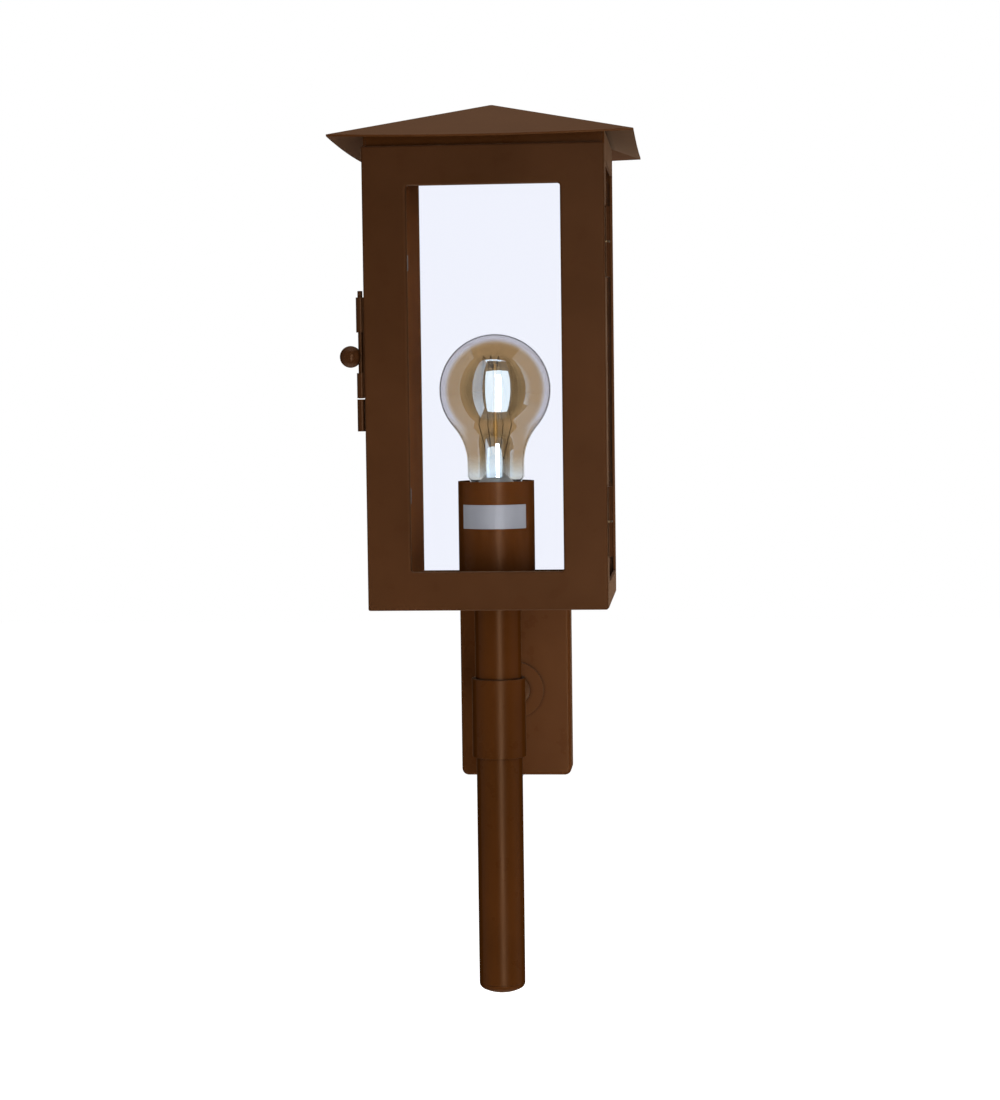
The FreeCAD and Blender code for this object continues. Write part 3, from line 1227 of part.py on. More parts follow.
def bent_wire(points, diameter):
    """One solid along straight runs, with a ball at each bend."""
    made = strut(points[0], points[1], diameter)
    for start, end in zip(points[1:], points[2:]):
        made = made.fuse(strut(start, end, diameter))
        made = made.fuse(Part.makeSphere(diameter / 2, start))
    return made.removeSplitter()


def corner(step, reach, height):
    """Corner of the filament, a number of steps round the axis."""
    turn = math.radians(30 + 360 / FILAMENT_CORNERS * step)
    return Vector(reach * math.cos(turn), reach * math.sin(turn), at.lamp_centre + height)


def low_corner(index):
    """Lower corner of the filament."""
    return corner(index, size.filament_low_radius, -size.filament_drop)


def high_corner(index):
    """Upper corner of the filament, half a step on from the lower one."""
    return corner(index + 0.5, size.filament_high_radius, size.filament_rise)


def lamp_filament():
    """Zigzag filament between the lower and upper supports."""
    zigzag = []
    for index in range(FILAMENT_CORNERS - 1):
        zigzag += [low_corner(index), high_corner(index)]
    zigzag.append(low_corner(FILAMENT_CORNERS - 1))
    piece(feature("filament", bent_wire(zigzag, size.filament_wire)), "lamp_filament")


def low_support(index):
    """Wire from the stem's press to just short of a lower corner."""
    end = low_corner(index)
    outward = Vector(end.x, end.y, 0).normalize()
    root = outward * (size.stem_neck / 2 + size.seat_gap + size.wire / 2)
    root.z = (at.flare_top + at.stem_press) / 2
    bend = root + Vector(0, 0, size.press_height)
    tip = end + outward * ((size.wire + size.filament_wire) / 2 + size.seat_gap)
    return bent_wire([root, bend, tip], size.wire)


def high_support(index):
    """Wire from the rod's top to just short of an upper corner."""
    end = high_corner(index)
    outward = Vector(end.x, end.y, 0).normalize()
    root = outward * (size.rod_diameter / 2 + size.seat_gap + size.wire / 2)
    root.z = at.rod_top - size.rod_diameter
    tip = end + Vector(0, 0, size.wire + size.filament_wire + size.seat_gap)
    return bent_wire([root, tip], size.wire)


def lamp_support_wires():
    """Supports of the filament. The first and last lower ones are the lead wires."""
    wires = [low_support(index) for index in range(FILAMENT_CORNERS)]
    wires += [high_support(index) for index in range(FILAMENT_CORNERS - 1)]
    piece(feature("supports", Part.makeCompound(wires)), "lamp_support_wires")


def cable_path():
    """Middle line of the cable from the terminal block through the arm and up the pole."""
    tail = size.cable_tail_bend
    bend = size.cable_bend
    tail_y = at.locknut_face + size.cable_diameter / 2 + tail / 4
    pole_y = -size.pole_standoff
    slant = 1 - math.sqrt(0.5)
    start = Vector(0, tail_y, at.block_foot)
    drop = Vector(0, tail_y, tail)
    drop_mid = Vector(0, tail_y - tail * slant, tail * slant)
    level = Vector(0, tail_y - tail, 0)
    turn_in = Vector(0, pole_y + bend, 0)
    turn_mid = Vector(0, pole_y + bend * slant, bend * slant)
    turn_out = Vector(0, pole_y, bend)
    finish = Vector(0, pole_y, size.floor_height + at.holder_foot + size.nipple_rise)
    return Part.Wire([Part.makeLine(start, drop), Part.Arc(drop, drop_mid, level).toShape(),
                      Part.makeLine(level, turn_in), Part.Arc(turn_in, turn_mid, turn_out).toShape(),
                      Part.makeLine(turn_out, finish)])


def inner_cable():
    """Round cable swept along its path."""
    radius = size.cable_diameter / 2
    path = cable_path()
    start = path.OrderedVertexes[0].Point
    section = Part.Wire(Part.Circle(start, Vector(0, 0, -1), radius).toShape())
    tube = path.makePipeShell([section], True, False)
    expected = math.pi * radius ** 2 * path.Length
    if abs(tube.Volume / expected - 1) > 0.01:
        raise RuntimeError("the cable's volume doesn't match its length")
    cable = doc.addObject("Part::Feature", "cable_body")
    cable.Shape = tube
    piece(cable, "inner_cable")


def build():
    """Every sub-part, from the wall to the lamp."""
    for make in (wall_canopy, wall_strap, canopy_screws, arm_tube, arm_flange, arm_locknut, terminal_block,
                 pole_sleeve, sleeve_set_screw, pole_tube, pole_plug, pole_end_cap,
                 floor_pan, side_walls, back_wall, front_header, roof,
                 wall_panes, pane_top_clips, pane_foot_clips, door_frame, door_glass, door_glass_clips,
                 hinge_wall_knuckles, hinge_door_knuckles, hinge_pins, hinge_washers,
                 latch_guides, latch_keeper, latch_pin, latch_knob,
                 lampholder_cover, threaded_nipple, nipple_nut,
                 lampholder_body, lampholder_shell, lampholder_contact,
                 lamp_envelope, lamp_cap, lamp_insulator, lamp_contact, lamp_stem,
                 lamp_filament, lamp_support_wires, inner_cable):
        make()
    doc.recompute()


def write_parts():
    """Check every sub-part and write it to its own file."""
    failed = [item.Name for item in doc.Objects if {"Invalid", "Error"} & set(item.State)]
    if failed:
        raise RuntimeError(f"objects failed: {failed}")
    os.makedirs("parts", exist_ok=True)
    for item in pieces:
        if item.Shape.isNull() or not item.Shape.isValid():
            raise RuntimeError(f"{item.Label} has no valid shape")
    for item in pieces:
        item.Shape.exportStep(f"parts/{item.Label}.step")
        print(item.Label, len(item.Shape.Solids), round(item.Shape.Volume, 1))


build()
write_parts()
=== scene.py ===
"""Finishes, small pieces, studio and camera for a wall lantern on a pole."""

import logging
import math
from dataclasses import dataclass
from enum import Enum
from typing import Iterable, Optional

import bmesh
import bpy
from mathutils import Matrix, Vector


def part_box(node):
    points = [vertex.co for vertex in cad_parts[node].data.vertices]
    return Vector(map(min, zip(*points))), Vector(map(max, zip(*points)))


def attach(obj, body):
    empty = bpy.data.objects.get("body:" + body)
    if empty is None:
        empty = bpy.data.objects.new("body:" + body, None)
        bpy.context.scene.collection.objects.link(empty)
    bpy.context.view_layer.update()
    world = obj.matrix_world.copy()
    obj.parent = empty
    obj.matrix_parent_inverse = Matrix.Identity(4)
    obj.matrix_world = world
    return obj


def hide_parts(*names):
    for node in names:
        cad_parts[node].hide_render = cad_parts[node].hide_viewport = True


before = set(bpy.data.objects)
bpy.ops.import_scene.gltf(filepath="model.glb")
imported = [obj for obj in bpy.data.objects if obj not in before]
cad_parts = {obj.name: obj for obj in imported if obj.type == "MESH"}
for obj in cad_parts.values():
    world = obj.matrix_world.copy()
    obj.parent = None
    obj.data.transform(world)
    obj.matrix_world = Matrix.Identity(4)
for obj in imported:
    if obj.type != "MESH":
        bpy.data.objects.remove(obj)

LOG = logging.getLogger("wall_lantern")
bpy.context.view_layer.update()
MM = 0.001
WELD = 1e-6
TOUCH = 1e-7

Colour = tuple[float, float, float]


class Body(Enum):
    """The bodies that the new pieces ride on."""

    LANTERN = "lantern"
    LAMP = "lamp"


class Slot(Enum):
    """The record's finishes."""

    COAT = "brown_coat"
    STEEL = "zinc_steel"
    BRASS = "brass"
    PANE = "clear_glass"
    BULB = "amber_glass"
    STEM = "stem_glass"
    CAP = "cap_metal"
    INSULATOR = "black_insulator"
    TUNGSTEN = "tungsten"
    PORCELAIN = "porcelain"
    TERMINAL = "ivory_plastic"
    CABLE = "cable_sheath"


def linear(red: int, green: int, blue: int) -> Colour:
    """Turn an 8-bit display colour into linear light.

    Args:
        red: Red, 0 to 255.
        green: Green, 0 to 255.
        blue: Blue, 0 to 255.

    Returns:
        The same colour in linear light.
    """

    def channel(value: int) -> float:
        """One channel in linear light."""
        share = value / 255
        return share / 12.92 if share <= 0.04045 else ((share + 0.055) / 1.055) ** 2.4

    return channel(red), channel(green), channel(blue)


class NodeKit:
    """A material's node tree with short ways to add and join nodes."""

    def __init__(self, name: str) -> None:
        """Start an empty material.

        Args:
            name: The material's name.
        """
        self.material = bpy.data.materials.new(name)
        self.material.use_nodes = True
        self.tree = self.material.node_tree
        self.tree.nodes.clear()
        self.output = self.add("ShaderNodeOutputMaterial")
        self.place = self.add("ShaderNodeTexCoord").outputs["Object"]

    def add(self, kind: str, **values: object) -> bpy.types.Node:
        """Add a node and set its plain properties.

        Args:
            kind: The node's type name.
            **values: Properties of the node.

        Returns:
            The new node.
        """
        node = self.tree.nodes.new(kind)
        for key, value in values.items():
            setattr(node, key, value)
        return node

    def join(self, source: bpy.types.NodeSocket, target: bpy.types.NodeSocket) -> None:
        """Link one socket to another."""
        self.tree.links.new(source, target)

    def noise(self, scale: float, detail: float = 2.0,
              stretch: Colour = (1.0, 1.0, 1.0)) -> bpy.types.NodeSocket:
        """Noise in the object's own space.

        Args:
            scale: Waves per metre, about.
            detail: Octaves.
            stretch: Scale of each axis.

        Returns:
            The noise value's socket.
        """
        texture = self.add("ShaderNodeTexNoise")
        texture.inputs["Scale"].default_value = scale
        texture.inputs["Detail"].default_value = detail
        mapping = self.add("ShaderNodeMapping")
        mapping.inputs["Scale"].default_value = stretch
        self.join(self.place, mapping.inputs["Vector"])
        self.join(mapping.outputs["Vector"], texture.inputs["Vector"])
        return texture.outputs["Fac"]

    def span(self, source: bpy.types.NodeSocket, low: float, high: float,
             start: float = 0.3, end: float = 0.7) -> bpy.types.NodeSocket:
        """Map a value from one span to another.

        Args:
            source: The value.
            low: Result at the start.
            high: Result at the end.
            start: Value that gives low.
            end: Value that gives high.

        Returns:
            The mapped value's socket.
        """
        node = self.add("ShaderNodeMapRange")
        node.inputs["From Min"].default_value = start
        node.inputs["From Max"].default_value = end
        node.inputs["To Min"].default_value = low
        node.inputs["To Max"].default_value = high
        self.join(source, node.inputs["Value"])
        return node.outputs["Result"]

    def blend(self, share: bpy.types.NodeSocket, first: object, second: object) -> bpy.types.NodeSocket:
        """Mix two colours, each a value or a socket.

        Args:
            share: How much of the second.
            first: Colour at 0.
            second: Colour at 1.

        Returns:
            The mixed colour's socket.
        """
        node = self.add("ShaderNodeMix", data_type="RGBA")
        self.join(share, node.inputs[0])
        for socket, value in ((node.inputs[6], first), (node.inputs[7], second)):
            if isinstance(value, bpy.types.NodeSocket):
                self.join(value, socket)
            else:
                socket.default_value = (*value, 1.0)
        return node.outputs[2]

    def math(self, operation: str, first: bpy.types.NodeSocket,
             second: Optional[bpy.types.NodeSocket] = None) -> bpy.types.NodeSocket:
        """Work out a value from one or two others.

        Args:
            operation: The operation's type name.
            first: The first value.
            second: The second value, where the operation takes two.

        Returns:
            The result's socket.
        """
        node = self.add("ShaderNodeMath", operation=operation)
        self.join(first, node.inputs[0])
        if second is not None:
            self.join(second, node.inputs[1])
        return node.outputs["Value"]

    def mixed(self, share: object, first: bpy.types.Node, second: bpy.types.Node) -> bpy.types.Node:
        """Mix two shaders.

        Args:
            share: How much of the second, a number or a socket.
            first: Shader node at 0.
            second: Shader node at 1.

        Returns:
            The mixing node.
        """
        node = self.add("ShaderNodeMixShader")
        if isinstance(share, bpy.types.NodeSocket):
            self.join(share, node.inputs[0])
        else:
            node.inputs[0].default_value = share
        self.join(first.outputs[0], node.inputs[1])
        self.join(second.outputs[0], node.inputs[2])
        return node

    def place_height(self) -> bpy.types.NodeSocket:
        """The height in the object's own space.

        Returns:
            The height's socket.
        """
        parts = self.add("ShaderNodeSeparateXYZ")
        self.join(self.place, parts.inputs["Vector"])
        return parts.outputs["Z"]

    def bump(self, height: bpy.types.NodeSocket, strength: float, distance: float,
             normal: Optional[bpy.types.NodeSocket] = None) -> bpy.types.NodeSocket:
        """Fine relief.

        Args:
            height: The height's socket.
            strength: How strong the relief is.
            distance: Depth in metres.
            normal: A normal to start from.

        Returns:
            The bumped normal's socket.
        """
        node = self.add("ShaderNodeBump")
        node.inputs["Strength"].default_value = strength
        node.inputs["Distance"].default_value = distance
        self.join(height, node.inputs["Height"])
        if normal is not None:
            self.join(normal, node.inputs["Normal"])
        return node.outputs["Normal"]

    def soft_edge(self, radius: float) -> tuple[bpy.types.NodeSocket, bpy.types.NodeSocket]:
        """Rounded-edge normal and a mask of the edges.

        Args:
            radius: Radius of the rounding in metres.

        Returns:
            The normal's socket and the mask's socket, 1 on an edge.
        """
        bevel = self.add("ShaderNodeBevel", samples=6)
        bevel.inputs["Radius"].default_value = radius
        flat = self.add("ShaderNodeNewGeometry").outputs["Normal"]
        dot = self.add("ShaderNodeVectorMath", operation="DOT_PRODUCT")
        self.join(bevel.outputs["Normal"], dot.inputs[0])
        self.join(flat, dot.inputs[1])
        mask = self.span(dot.outputs["Value"], low=1.0, high=0.0, start=0.80, end=0.985)
        return bevel.outputs["Normal"], mask

    def principled(self, roughness: float, metallic: float, specular: float) -> bpy.types.Node:
        """The main shader, joined to the output.

        Args:
            roughness: Plain roughness.
            metallic: Metal share.
            specular: Specular level.

        Returns:
            The shader node.
        """
        shader = self.add("ShaderNodeBsdfPrincipled")
        shader.inputs["Roughness"].default_value = roughness
        shader.inputs["Metallic"].default_value = metallic
        shader.inputs["Specular IOR Level"].default_value = specular
        self.join(shader.outputs["BSDF"], self.output.inputs["Surface"])
        return shader


@dataclass(frozen=True)
class CoatFinish:
    """Satin powder coat: close browns, painted light on level faces, fine peel, paler edges, painted shade
    in seams.

    Level faces, tops and undersides alike, are painted lighter as if lit from above and below. The edges are
    paler from wear and from a painted highlight. The gloss falls to rim_gloss at the rim. With
    own_shade_only, only the piece itself casts the painted shade into its seams.
    """

    name: str = "brown powder coat"
    deep: Colour = linear(68, 36, 13)
    warm: Colour = linear(76, 42, 17)
    # Edge brown: paler from wear and from a painted highlight along the rounded edges.
    worn_and_highlit_edge: Colour = linear(104, 70, 44)
    # Painted light: the paler brown that level faces, tops and undersides alike, get, and how much of it.
    level_lit_brown: Colour = linear(110, 84, 66)
    level_lit_share: float = 0.51
    sheen_tint: Colour = (1.0, 0.68, 0.44)
    sheen: float = 0.14
    sheen_roughness: float = 0.16
    gloss_tint: Colour = (1.0, 0.65, 0.40)
    roughness: float = 0.30
    gloss: float = 0.06
    rim_gloss: float = 0.0
    edge: float = 0.5 * MM
    wear_and_highlight: float = 0.5
    # Painted shade in seams and creases: how far it reaches, how dark it is, and whether only the piece
    # itself shades them.
    seam: float = 4.0 * MM
    seam_shade: float = 0.35
    own_shade_only: bool = False
    cloud_scale: float = 22.0
    rub_scale: float = 180.0
    patch_scale: float = 90.0
    peel_scale: float = 950.0
    peel: float = 0.08
    peel_depth: float = 0.10 * MM

    def brown(self, kit: NodeKit, edge: bpy.types.NodeSocket) -> bpy.types.NodeSocket:
        """Mix the browns of faces, painted light on level faces, worn edges with a painted highlight, and
        painted shade in seams.

        Args:
            kit: The material's nodes.
            edge: The mask of the edges.

        Returns:
            The colour's socket.
        """
        cloud = kit.span(kit.noise(self.cloud_scale, 3.0), 0.0, 1.0)
        # Painted light: level faces, tops and undersides alike, turn paler, as if lit from above and below.
        upright = kit.add("ShaderNodeSeparateXYZ")
        kit.join(kit.add("ShaderNodeNewGeometry").outputs["True Normal"], upright.inputs["Vector"])
        level = kit.span(kit.math("ABSOLUTE", upright.outputs["Z"]), 0.0, self.level_lit_share, 0.5, 0.95)
        brown = kit.blend(level, kit.blend(cloud, self.deep, self.warm), self.level_lit_brown)
        # Edges: paler from wear in patches and from a painted highlight along the rounding.
        rub_and_highlight = kit.span(kit.noise(self.rub_scale, 4.0), 0.0, self.wear_and_highlight, 0.35, 0.75)
        clean = kit.blend(kit.math("MULTIPLY", edge, rub_and_highlight), brown, self.worn_and_highlit_edge)
        # Painted shade: occlusion darkens seams, creases and gaps between parts towards a dark brown.
        crease_shade = kit.add("ShaderNodeAmbientOcclusion", samples=8, only_local=self.own_shade_only)
        crease_shade.inputs["Distance"].default_value = self.seam
        open_share = kit.span(crease_shade.outputs["AO"], 0.0, 1.0, 0.35, 0.85)
        dark = tuple(self.seam_shade * part for part in self.deep)
        return kit.blend(open_share, dark, clean)

    def build(self) -> bpy.types.Material:
        """Make the material.

        Returns:
            The material.
        """
        kit = NodeKit(self.name)
        shader = kit.principled(self.roughness, 0.0, self.gloss)
        shader.inputs["Specular Tint"].default_value = (*self.gloss_tint, 1.0)
        shader.inputs["Sheen Weight"].default_value = self.sheen
        shader.inputs["Sheen Roughness"].default_value = self.sheen_roughness
        shader.inputs["Sheen Tint"].default_value = (*self.sheen_tint, 1.0)
        facing = kit.add("ShaderNodeLayerWeight").outputs["Facing"]
        gloss = kit.span(facing, self.gloss, self.rim_gloss, 0.15, 0.5)
        kit.join(gloss, shader.inputs["Specular IOR Level"])
        normal, edge = kit.soft_edge(self.edge)
        kit.join(self.brown(kit, edge), shader.inputs["Base Color"])
        patch = kit.span(kit.noise(self.patch_scale, 4.0), self.roughness - 0.05, self.roughness + 0.07)
        kit.join(patch, shader.inputs["Roughness"])
        relief = kit.bump(kit.noise(self.peel_scale), self.peel, self.peel_depth, normal)
        kit.join(relief, shader.inputs["Normal"])
        return kit.material


@dataclass(frozen=True)
class MetalFinish:
    """Bare or plated metal with a drawn grain."""

    name: str
    colour: Colour
    dull: Colour
    roughness: float = 0.3
    stain_scale: float = 120.0
    grain: Colour = (1.0, 1.0, 0.15)
    grain_scale: float = 700.0
    relief: float = 0.08
    relief_depth: float = 0.05 * MM
    edge: float = 0.25 * MM

    def build(self) -> bpy.types.Material:
        """Make the material.

        Returns:
            The material.
        """
        kit = NodeKit(self.name)
        shader = kit.principled(self.roughness, 1.0, 0.5)
        stain = kit.span(kit.noise(self.stain_scale, 4.0), 0.0, 1.0)
        kit.join(kit.blend(stain, self.colour, self.dull), shader.inputs["Base Color"])
        grain = kit.noise(self.grain_scale, 3.0, self.grain)
        kit.join(kit.span(grain, self.roughness - 0.08, self.roughness + 0.12), shader.inputs["Roughness"])
        normal, _ = kit.soft_edge(self.edge)
        kit.join(kit.bump(grain, self.relief, self.relief_depth, normal), shader.inputs["Normal"])
        return kit.material


@dataclass(frozen=True)
class MouldedFinish:
    """Moulded, glazed or rubber surface, or plain foil."""

    name: str
    colour: Colour
    shade: Colour
    roughness: float = 0.45
    relief: float = 0.06
    relief_scale: float = 600.0
    relief_depth: float = 0.08 * MM
    coat: float = 0.0
    tone_scale: float = 60.0
    patch_scale: float = 150.0
    edge: float = 0.4 * MM

    def build(self) -> bpy.types.Material:
        """Make the material.

        Returns:
            The material.
        """
        kit = NodeKit(self.name)
        shader = kit.principled(self.roughness, 0.0, 0.4)
        shader.inputs["Coat Weight"].default_value = self.coat
        tone = kit.span(kit.noise(self.tone_scale, 4.0), 0.0, 1.0)
        kit.join(kit.blend(tone, self.colour, self.shade), shader.inputs["Base Color"])
        patch = kit.span(kit.noise(self.patch_scale, 3.0), self.roughness - 0.06, self.roughness + 0.08)
        kit.join(patch, shader.inputs["Roughness"])
        normal, _ = kit.soft_edge(self.edge)
        relief = kit.bump(kit.noise(self.relief_scale), self.relief, self.relief_depth, normal)
        kit.join(relief, shader.inputs["Normal"])
        return kit.material


@dataclass(frozen=True)
class PaneFinish:
    """Flat glass: a faint tint, no bending of light and a faint reflection."""

    name: str = "float glass"
    tint: Colour = (0.966, 0.972, 0.996)
    shine: float = 0.0006
    roughness: float = 0.03

    def build(self) -> bpy.types.Material:
        """Make the material.

        Returns:
            The material.
        """
        kit = NodeKit(self.name)
        clear = kit.add("ShaderNodeBsdfTransparent")
        clear.inputs["Color"].default_value = (*self.tint, 1.0)
        gloss = kit.add("ShaderNodeBsdfGlossy")
        gloss.inputs["Roughness"].default_value = self.roughness
        both = kit.mixed(self.shine, clear, gloss)
        kit.join(both.outputs["Shader"], kit.output.inputs["Surface"])
        return kit.material


@dataclass(frozen=True)
class BlownGlassFinish:
    """Blown glass: tinted in the middle, greyer at the globe's rim, clear at the neck, mirroring outside."""

    name: str = "amber lamp glass"
    middle: Colour = (0.785, 0.698, 0.57)
    rim: Colour = (0.855, 0.838, 0.84)
    rim_start: float = 0.42
    rim_end: float = 0.56
    neck: Colour = (0.90, 0.90, 0.875)
    neck_start: float = 131.0 * MM
    neck_end: float = 143.0 * MM
    neck_rim: float = 0.15
    globe_start: float = 148.0 * MM
    globe_end: float = 163.0 * MM
    index: float = 1.015
    mirror: float = 0.30
    rim_mirror: float = 0.06
    inner_mirror: float = 0.1
    mirror_tint: Colour = (0.70, 0.88, 1.0)
    mirror_roughness: float = 0.02

    def tint(self, kit: NodeKit, facing: bpy.types.NodeSocket) -> bpy.types.NodeSocket:
        """Mix the tints of middle, rim and neck.

        Args:
            kit: The material's nodes.
            facing: How far the glass turns away.

        Returns:
            The tint's socket.
        """
        height = kit.place_height()
        above = kit.span(height, 0.0, 1.0, self.neck_start, self.neck_end)
        globe = kit.span(height, self.neck_rim, 1.0, self.globe_start, self.globe_end)
        rim = kit.math("MULTIPLY", kit.span(facing, 0.0, 1.0, self.rim_start, self.rim_end), globe)
        return kit.blend(rim, kit.blend(above, self.neck, self.middle), self.rim)

    def build(self) -> bpy.types.Material:
        """Make the material.

        Returns:
            The material.
        """
        kit = NodeKit(self.name)
        facing = kit.add("ShaderNodeLayerWeight").outputs["Facing"]
        tint = self.tint(kit, facing)
        clear = kit.add("ShaderNodeBsdfRefraction")
        clear.inputs["IOR"].default_value = self.index
        clear.inputs["Roughness"].default_value = 0.0
        kit.join(tint, clear.inputs["Color"])
        gloss = kit.add("ShaderNodeBsdfGlossy")
        gloss.inputs["Roughness"].default_value = self.mirror_roughness
        gloss.inputs["Color"].default_value = (*self.mirror_tint, 1.0)
        inside = kit.add("ShaderNodeNewGeometry").outputs["Backfacing"]
        side = kit.span(inside, 1.0, self.inner_mirror, 0.0, 1.0)
        shown = kit.math("MULTIPLY", side, kit.span(facing, self.mirror, self.rim_mirror, 0.12, 0.25))
        through = kit.add("ShaderNodeBsdfTransparent")
        kit.join(tint, through.inputs["Color"])
        path = kit.add("ShaderNodeLightPath")
        light = kit.math("MAXIMUM", path.outputs["Is Shadow Ray"], path.outputs["Is Diffuse Ray"])
        glass = kit.mixed(light, kit.mixed(shown, clear, gloss), through)
        kit.join(glass.outputs["Shader"], kit.output.inputs["Surface"])
        return kit.material


@dataclass(frozen=True)
class StemFinish:
    """Pressed glass of the lamp's stem: pale and milky below, a bright amber rod above."""

    name: str = "stem glass"
    press: Colour = (0.93, 0.96, 1.0)
    rod: Colour = (1.0, 0.86, 0.55)
    change: float = 142.5 * MM
    milk: float = 0.5
    roughness: float = 0.3
    streak_scale: float = 350.0
    streak: Colour = (1.0, 1.0, 0.25)
    relief: float = 0.25
    relief_depth: float = 0.2 * MM

    def build(self) -> bpy.types.Material:
        """Make the material.

        Returns:
            The material.
        """
        kit = NodeKit(self.name)
        share = kit.span(kit.place_height(), 0.0, 1.0, self.change - MM, self.change + MM)
        shader = kit.principled(self.roughness, 0.0, 1.0)
        kit.join(kit.blend(share, self.press, self.rod), shader.inputs["Base Color"])
        streak = kit.noise(self.streak_scale, 2.0, self.streak)
        milk = kit.span(streak, self.milk - 0.25, self.milk + 0.2)
        clear = kit.math("MULTIPLY", milk, kit.span(share, 1.0, 0.0))
        kit.join(share, shader.inputs["Metallic"])
        kit.join(clear, shader.inputs["Transmission Weight"])
        kit.join(kit.bump(streak, self.relief, self.relief_depth), shader.inputs["Normal"])
        return kit.material


class Finishes:
    """All finishes, each made once."""

    def __init__(self) -> None:
        """Make every material."""
        insulator = MouldedFinish("black insulator", (0.02, 0.02, 0.022), (0.03, 0.03, 0.032), 0.2)
        porcelain = MouldedFinish("white porcelain", (0.80, 0.79, 0.75), (0.74, 0.73, 0.69), 0.25, coat=0.4)
        ivory = MouldedFinish("ivory moulding", (0.74, 0.71, 0.60), (0.68, 0.65, 0.54), 0.5)
        rubber = MouldedFinish("rubber sheath", (0.03, 0.03, 0.03), (0.05, 0.05, 0.05), 0.6)
        self.made: dict[Slot, bpy.types.Material] = {
            Slot.COAT: CoatFinish().build(),
            Slot.STEEL: MetalFinish("zinc plate", (0.58, 0.59, 0.62), (0.44, 0.46, 0.50), 0.32).build(),
            # Painted shade: the brass is darkened far below its own colour, so the washers between the hinge
            # knuckles read as the shade in those gaps.
            Slot.BRASS: MetalFinish("darkened brass", (0.08, 0.052, 0.028), (0.06, 0.04, 0.022), 0.45).build(),
            Slot.PANE: PaneFinish().build(),
            Slot.BULB: BlownGlassFinish().build(),
            Slot.STEM: StemFinish().build(),
            Slot.CAP: MetalFinish("bright cap", (0.76, 0.76, 0.74), (0.60, 0.60, 0.58), 0.25).build(),
            Slot.INSULATOR: insulator.build(),
            Slot.TUNGSTEN: MetalFinish("drawn wire", (0.02, 0.015, 0.01), (0.015, 0.01, 0.008), 0.6).build(),
            Slot.PORCELAIN: porcelain.build(),
            Slot.TERMINAL: ivory.build(),
            Slot.CABLE: rubber.build(),
        }
        self.wall_coat = CoatFinish("brown powder coat by glass", roughness=0.42, rim_gloss=0.00005,
                                    own_shade_only=True).build()
        # Shaded copy of the coat: the door's browns are painted darker as painted shade, with a stronger
        # painted highlight on its edges.
        self.shaded_door_coat = CoatFinish("brown powder coat on the door", linear(63, 37, 19), linear(70, 42, 23),
                                    gloss=0.022, edge=0.8 * MM, wear_and_highlight=0.8).build()
        # Shaded copy of the coat: the hinge and latch browns are painted darker as painted shade.
        self.shaded_fitting_coat = CoatFinish("brown powder coat on the fittings", linear(54, 29, 12),
                                       linear(61, 34, 16)).build()
        # Shaded copy of the coat: the pole's browns are painted darker as painted shade.
        self.shaded_pole_coat = CoatFinish("brown powder coat on the pole", linear(58, 29, 6),
                                    linear(65, 33, 8)).build()
        # Lit copy of the coat: the lampholder cover's browns are painted lighter as painted light inside the
        # box.
        self.lit_cover_coat = CoatFinish("lit brown powder coat on the cover", linear(82, 44, 15), linear(90, 50, 20)).build()
        self.foil = MouldedFinish("silver foil", (0.31, 0.31, 0.315), (0.28, 0.28, 0.285), 0.5, 0.03).build()
        self.spring = MetalFinish("blued spring steel", (0.065, 0.055, 0.050), (0.045, 0.038, 0.035),
                                  0.45).build()

    def dress_node(self, node: str, slot: Slot, material: Optional[bpy.types.Material] = None) -> None:
        """Give a solid its finish.

        Args:
            node: The solid's name.
            slot: The finish.
            material: A look of its own within that finish.
        """
        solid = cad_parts[node]
        solid.data.materials.clear()
        solid.data.materials.append(material or self.made[slot])
        LOG.info("%s: %s", node, slot.value)

    def dress_nodes(self, nodes: Iterable[str], slot: Slot,
                    material: Optional[bpy.types.Material] = None) -> None:
        """Give several solids one finish.

        Args:
            nodes: The solids' names.
            slot: The finish.
            material: A look of its own within that finish.
        """
        for node in nodes:
            self.dress_node(node, slot, material)


def linked_object(name: str, mesh: bmesh.types.BMesh, material: bpy.types.Material) -> bpy.types.Object:
    """Turn a bmesh into an object of the scene.

    Args:
        name: The object's name.
        mesh: Its bmesh, which is freed.
        material: Its material.

    Returns:
        The new object.
    """
    data = bpy.data.meshes.new(name)
    mesh.to_mesh(data)
    mesh.free()
    data.materials.append(material)
    item = bpy.data.objects.new(name, data)
    bpy.context.scene.collection.objects.link(item)
    return item


def finish_piece(name: str, mesh: bmesh.types.BMesh, material: bpy.types.Material,
                 body: Body, smooth: float = 30.0) -> bpy.types.Object:
    """Turn a bmesh into a finished piece that rides on a body.

    Args:
        name: The piece's name.
        mesh: Its bmesh, which is freed.
        material: Its material.
        body: The body that it rides on.
        smooth: Edges sharper than this many degrees stay sharp.

    Returns:
        The new object.
    """
    bmesh.ops.remove_doubles(mesh, verts=mesh.verts, dist=WELD)
    bmesh.ops.recalc_face_normals(mesh, faces=mesh.faces)
    for face in mesh.faces:
        face.smooth = True
    for edge in mesh.edges:
        if len(edge.link_faces) == 2:
            edge.smooth = edge.calc_face_angle(0.0) < math.radians(smooth)
    piece = linked_object(name, mesh, material)
    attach(piece, body.value)
    LOG.info("%s: %d faces", name, len(piece.data.polygons))
    return piece


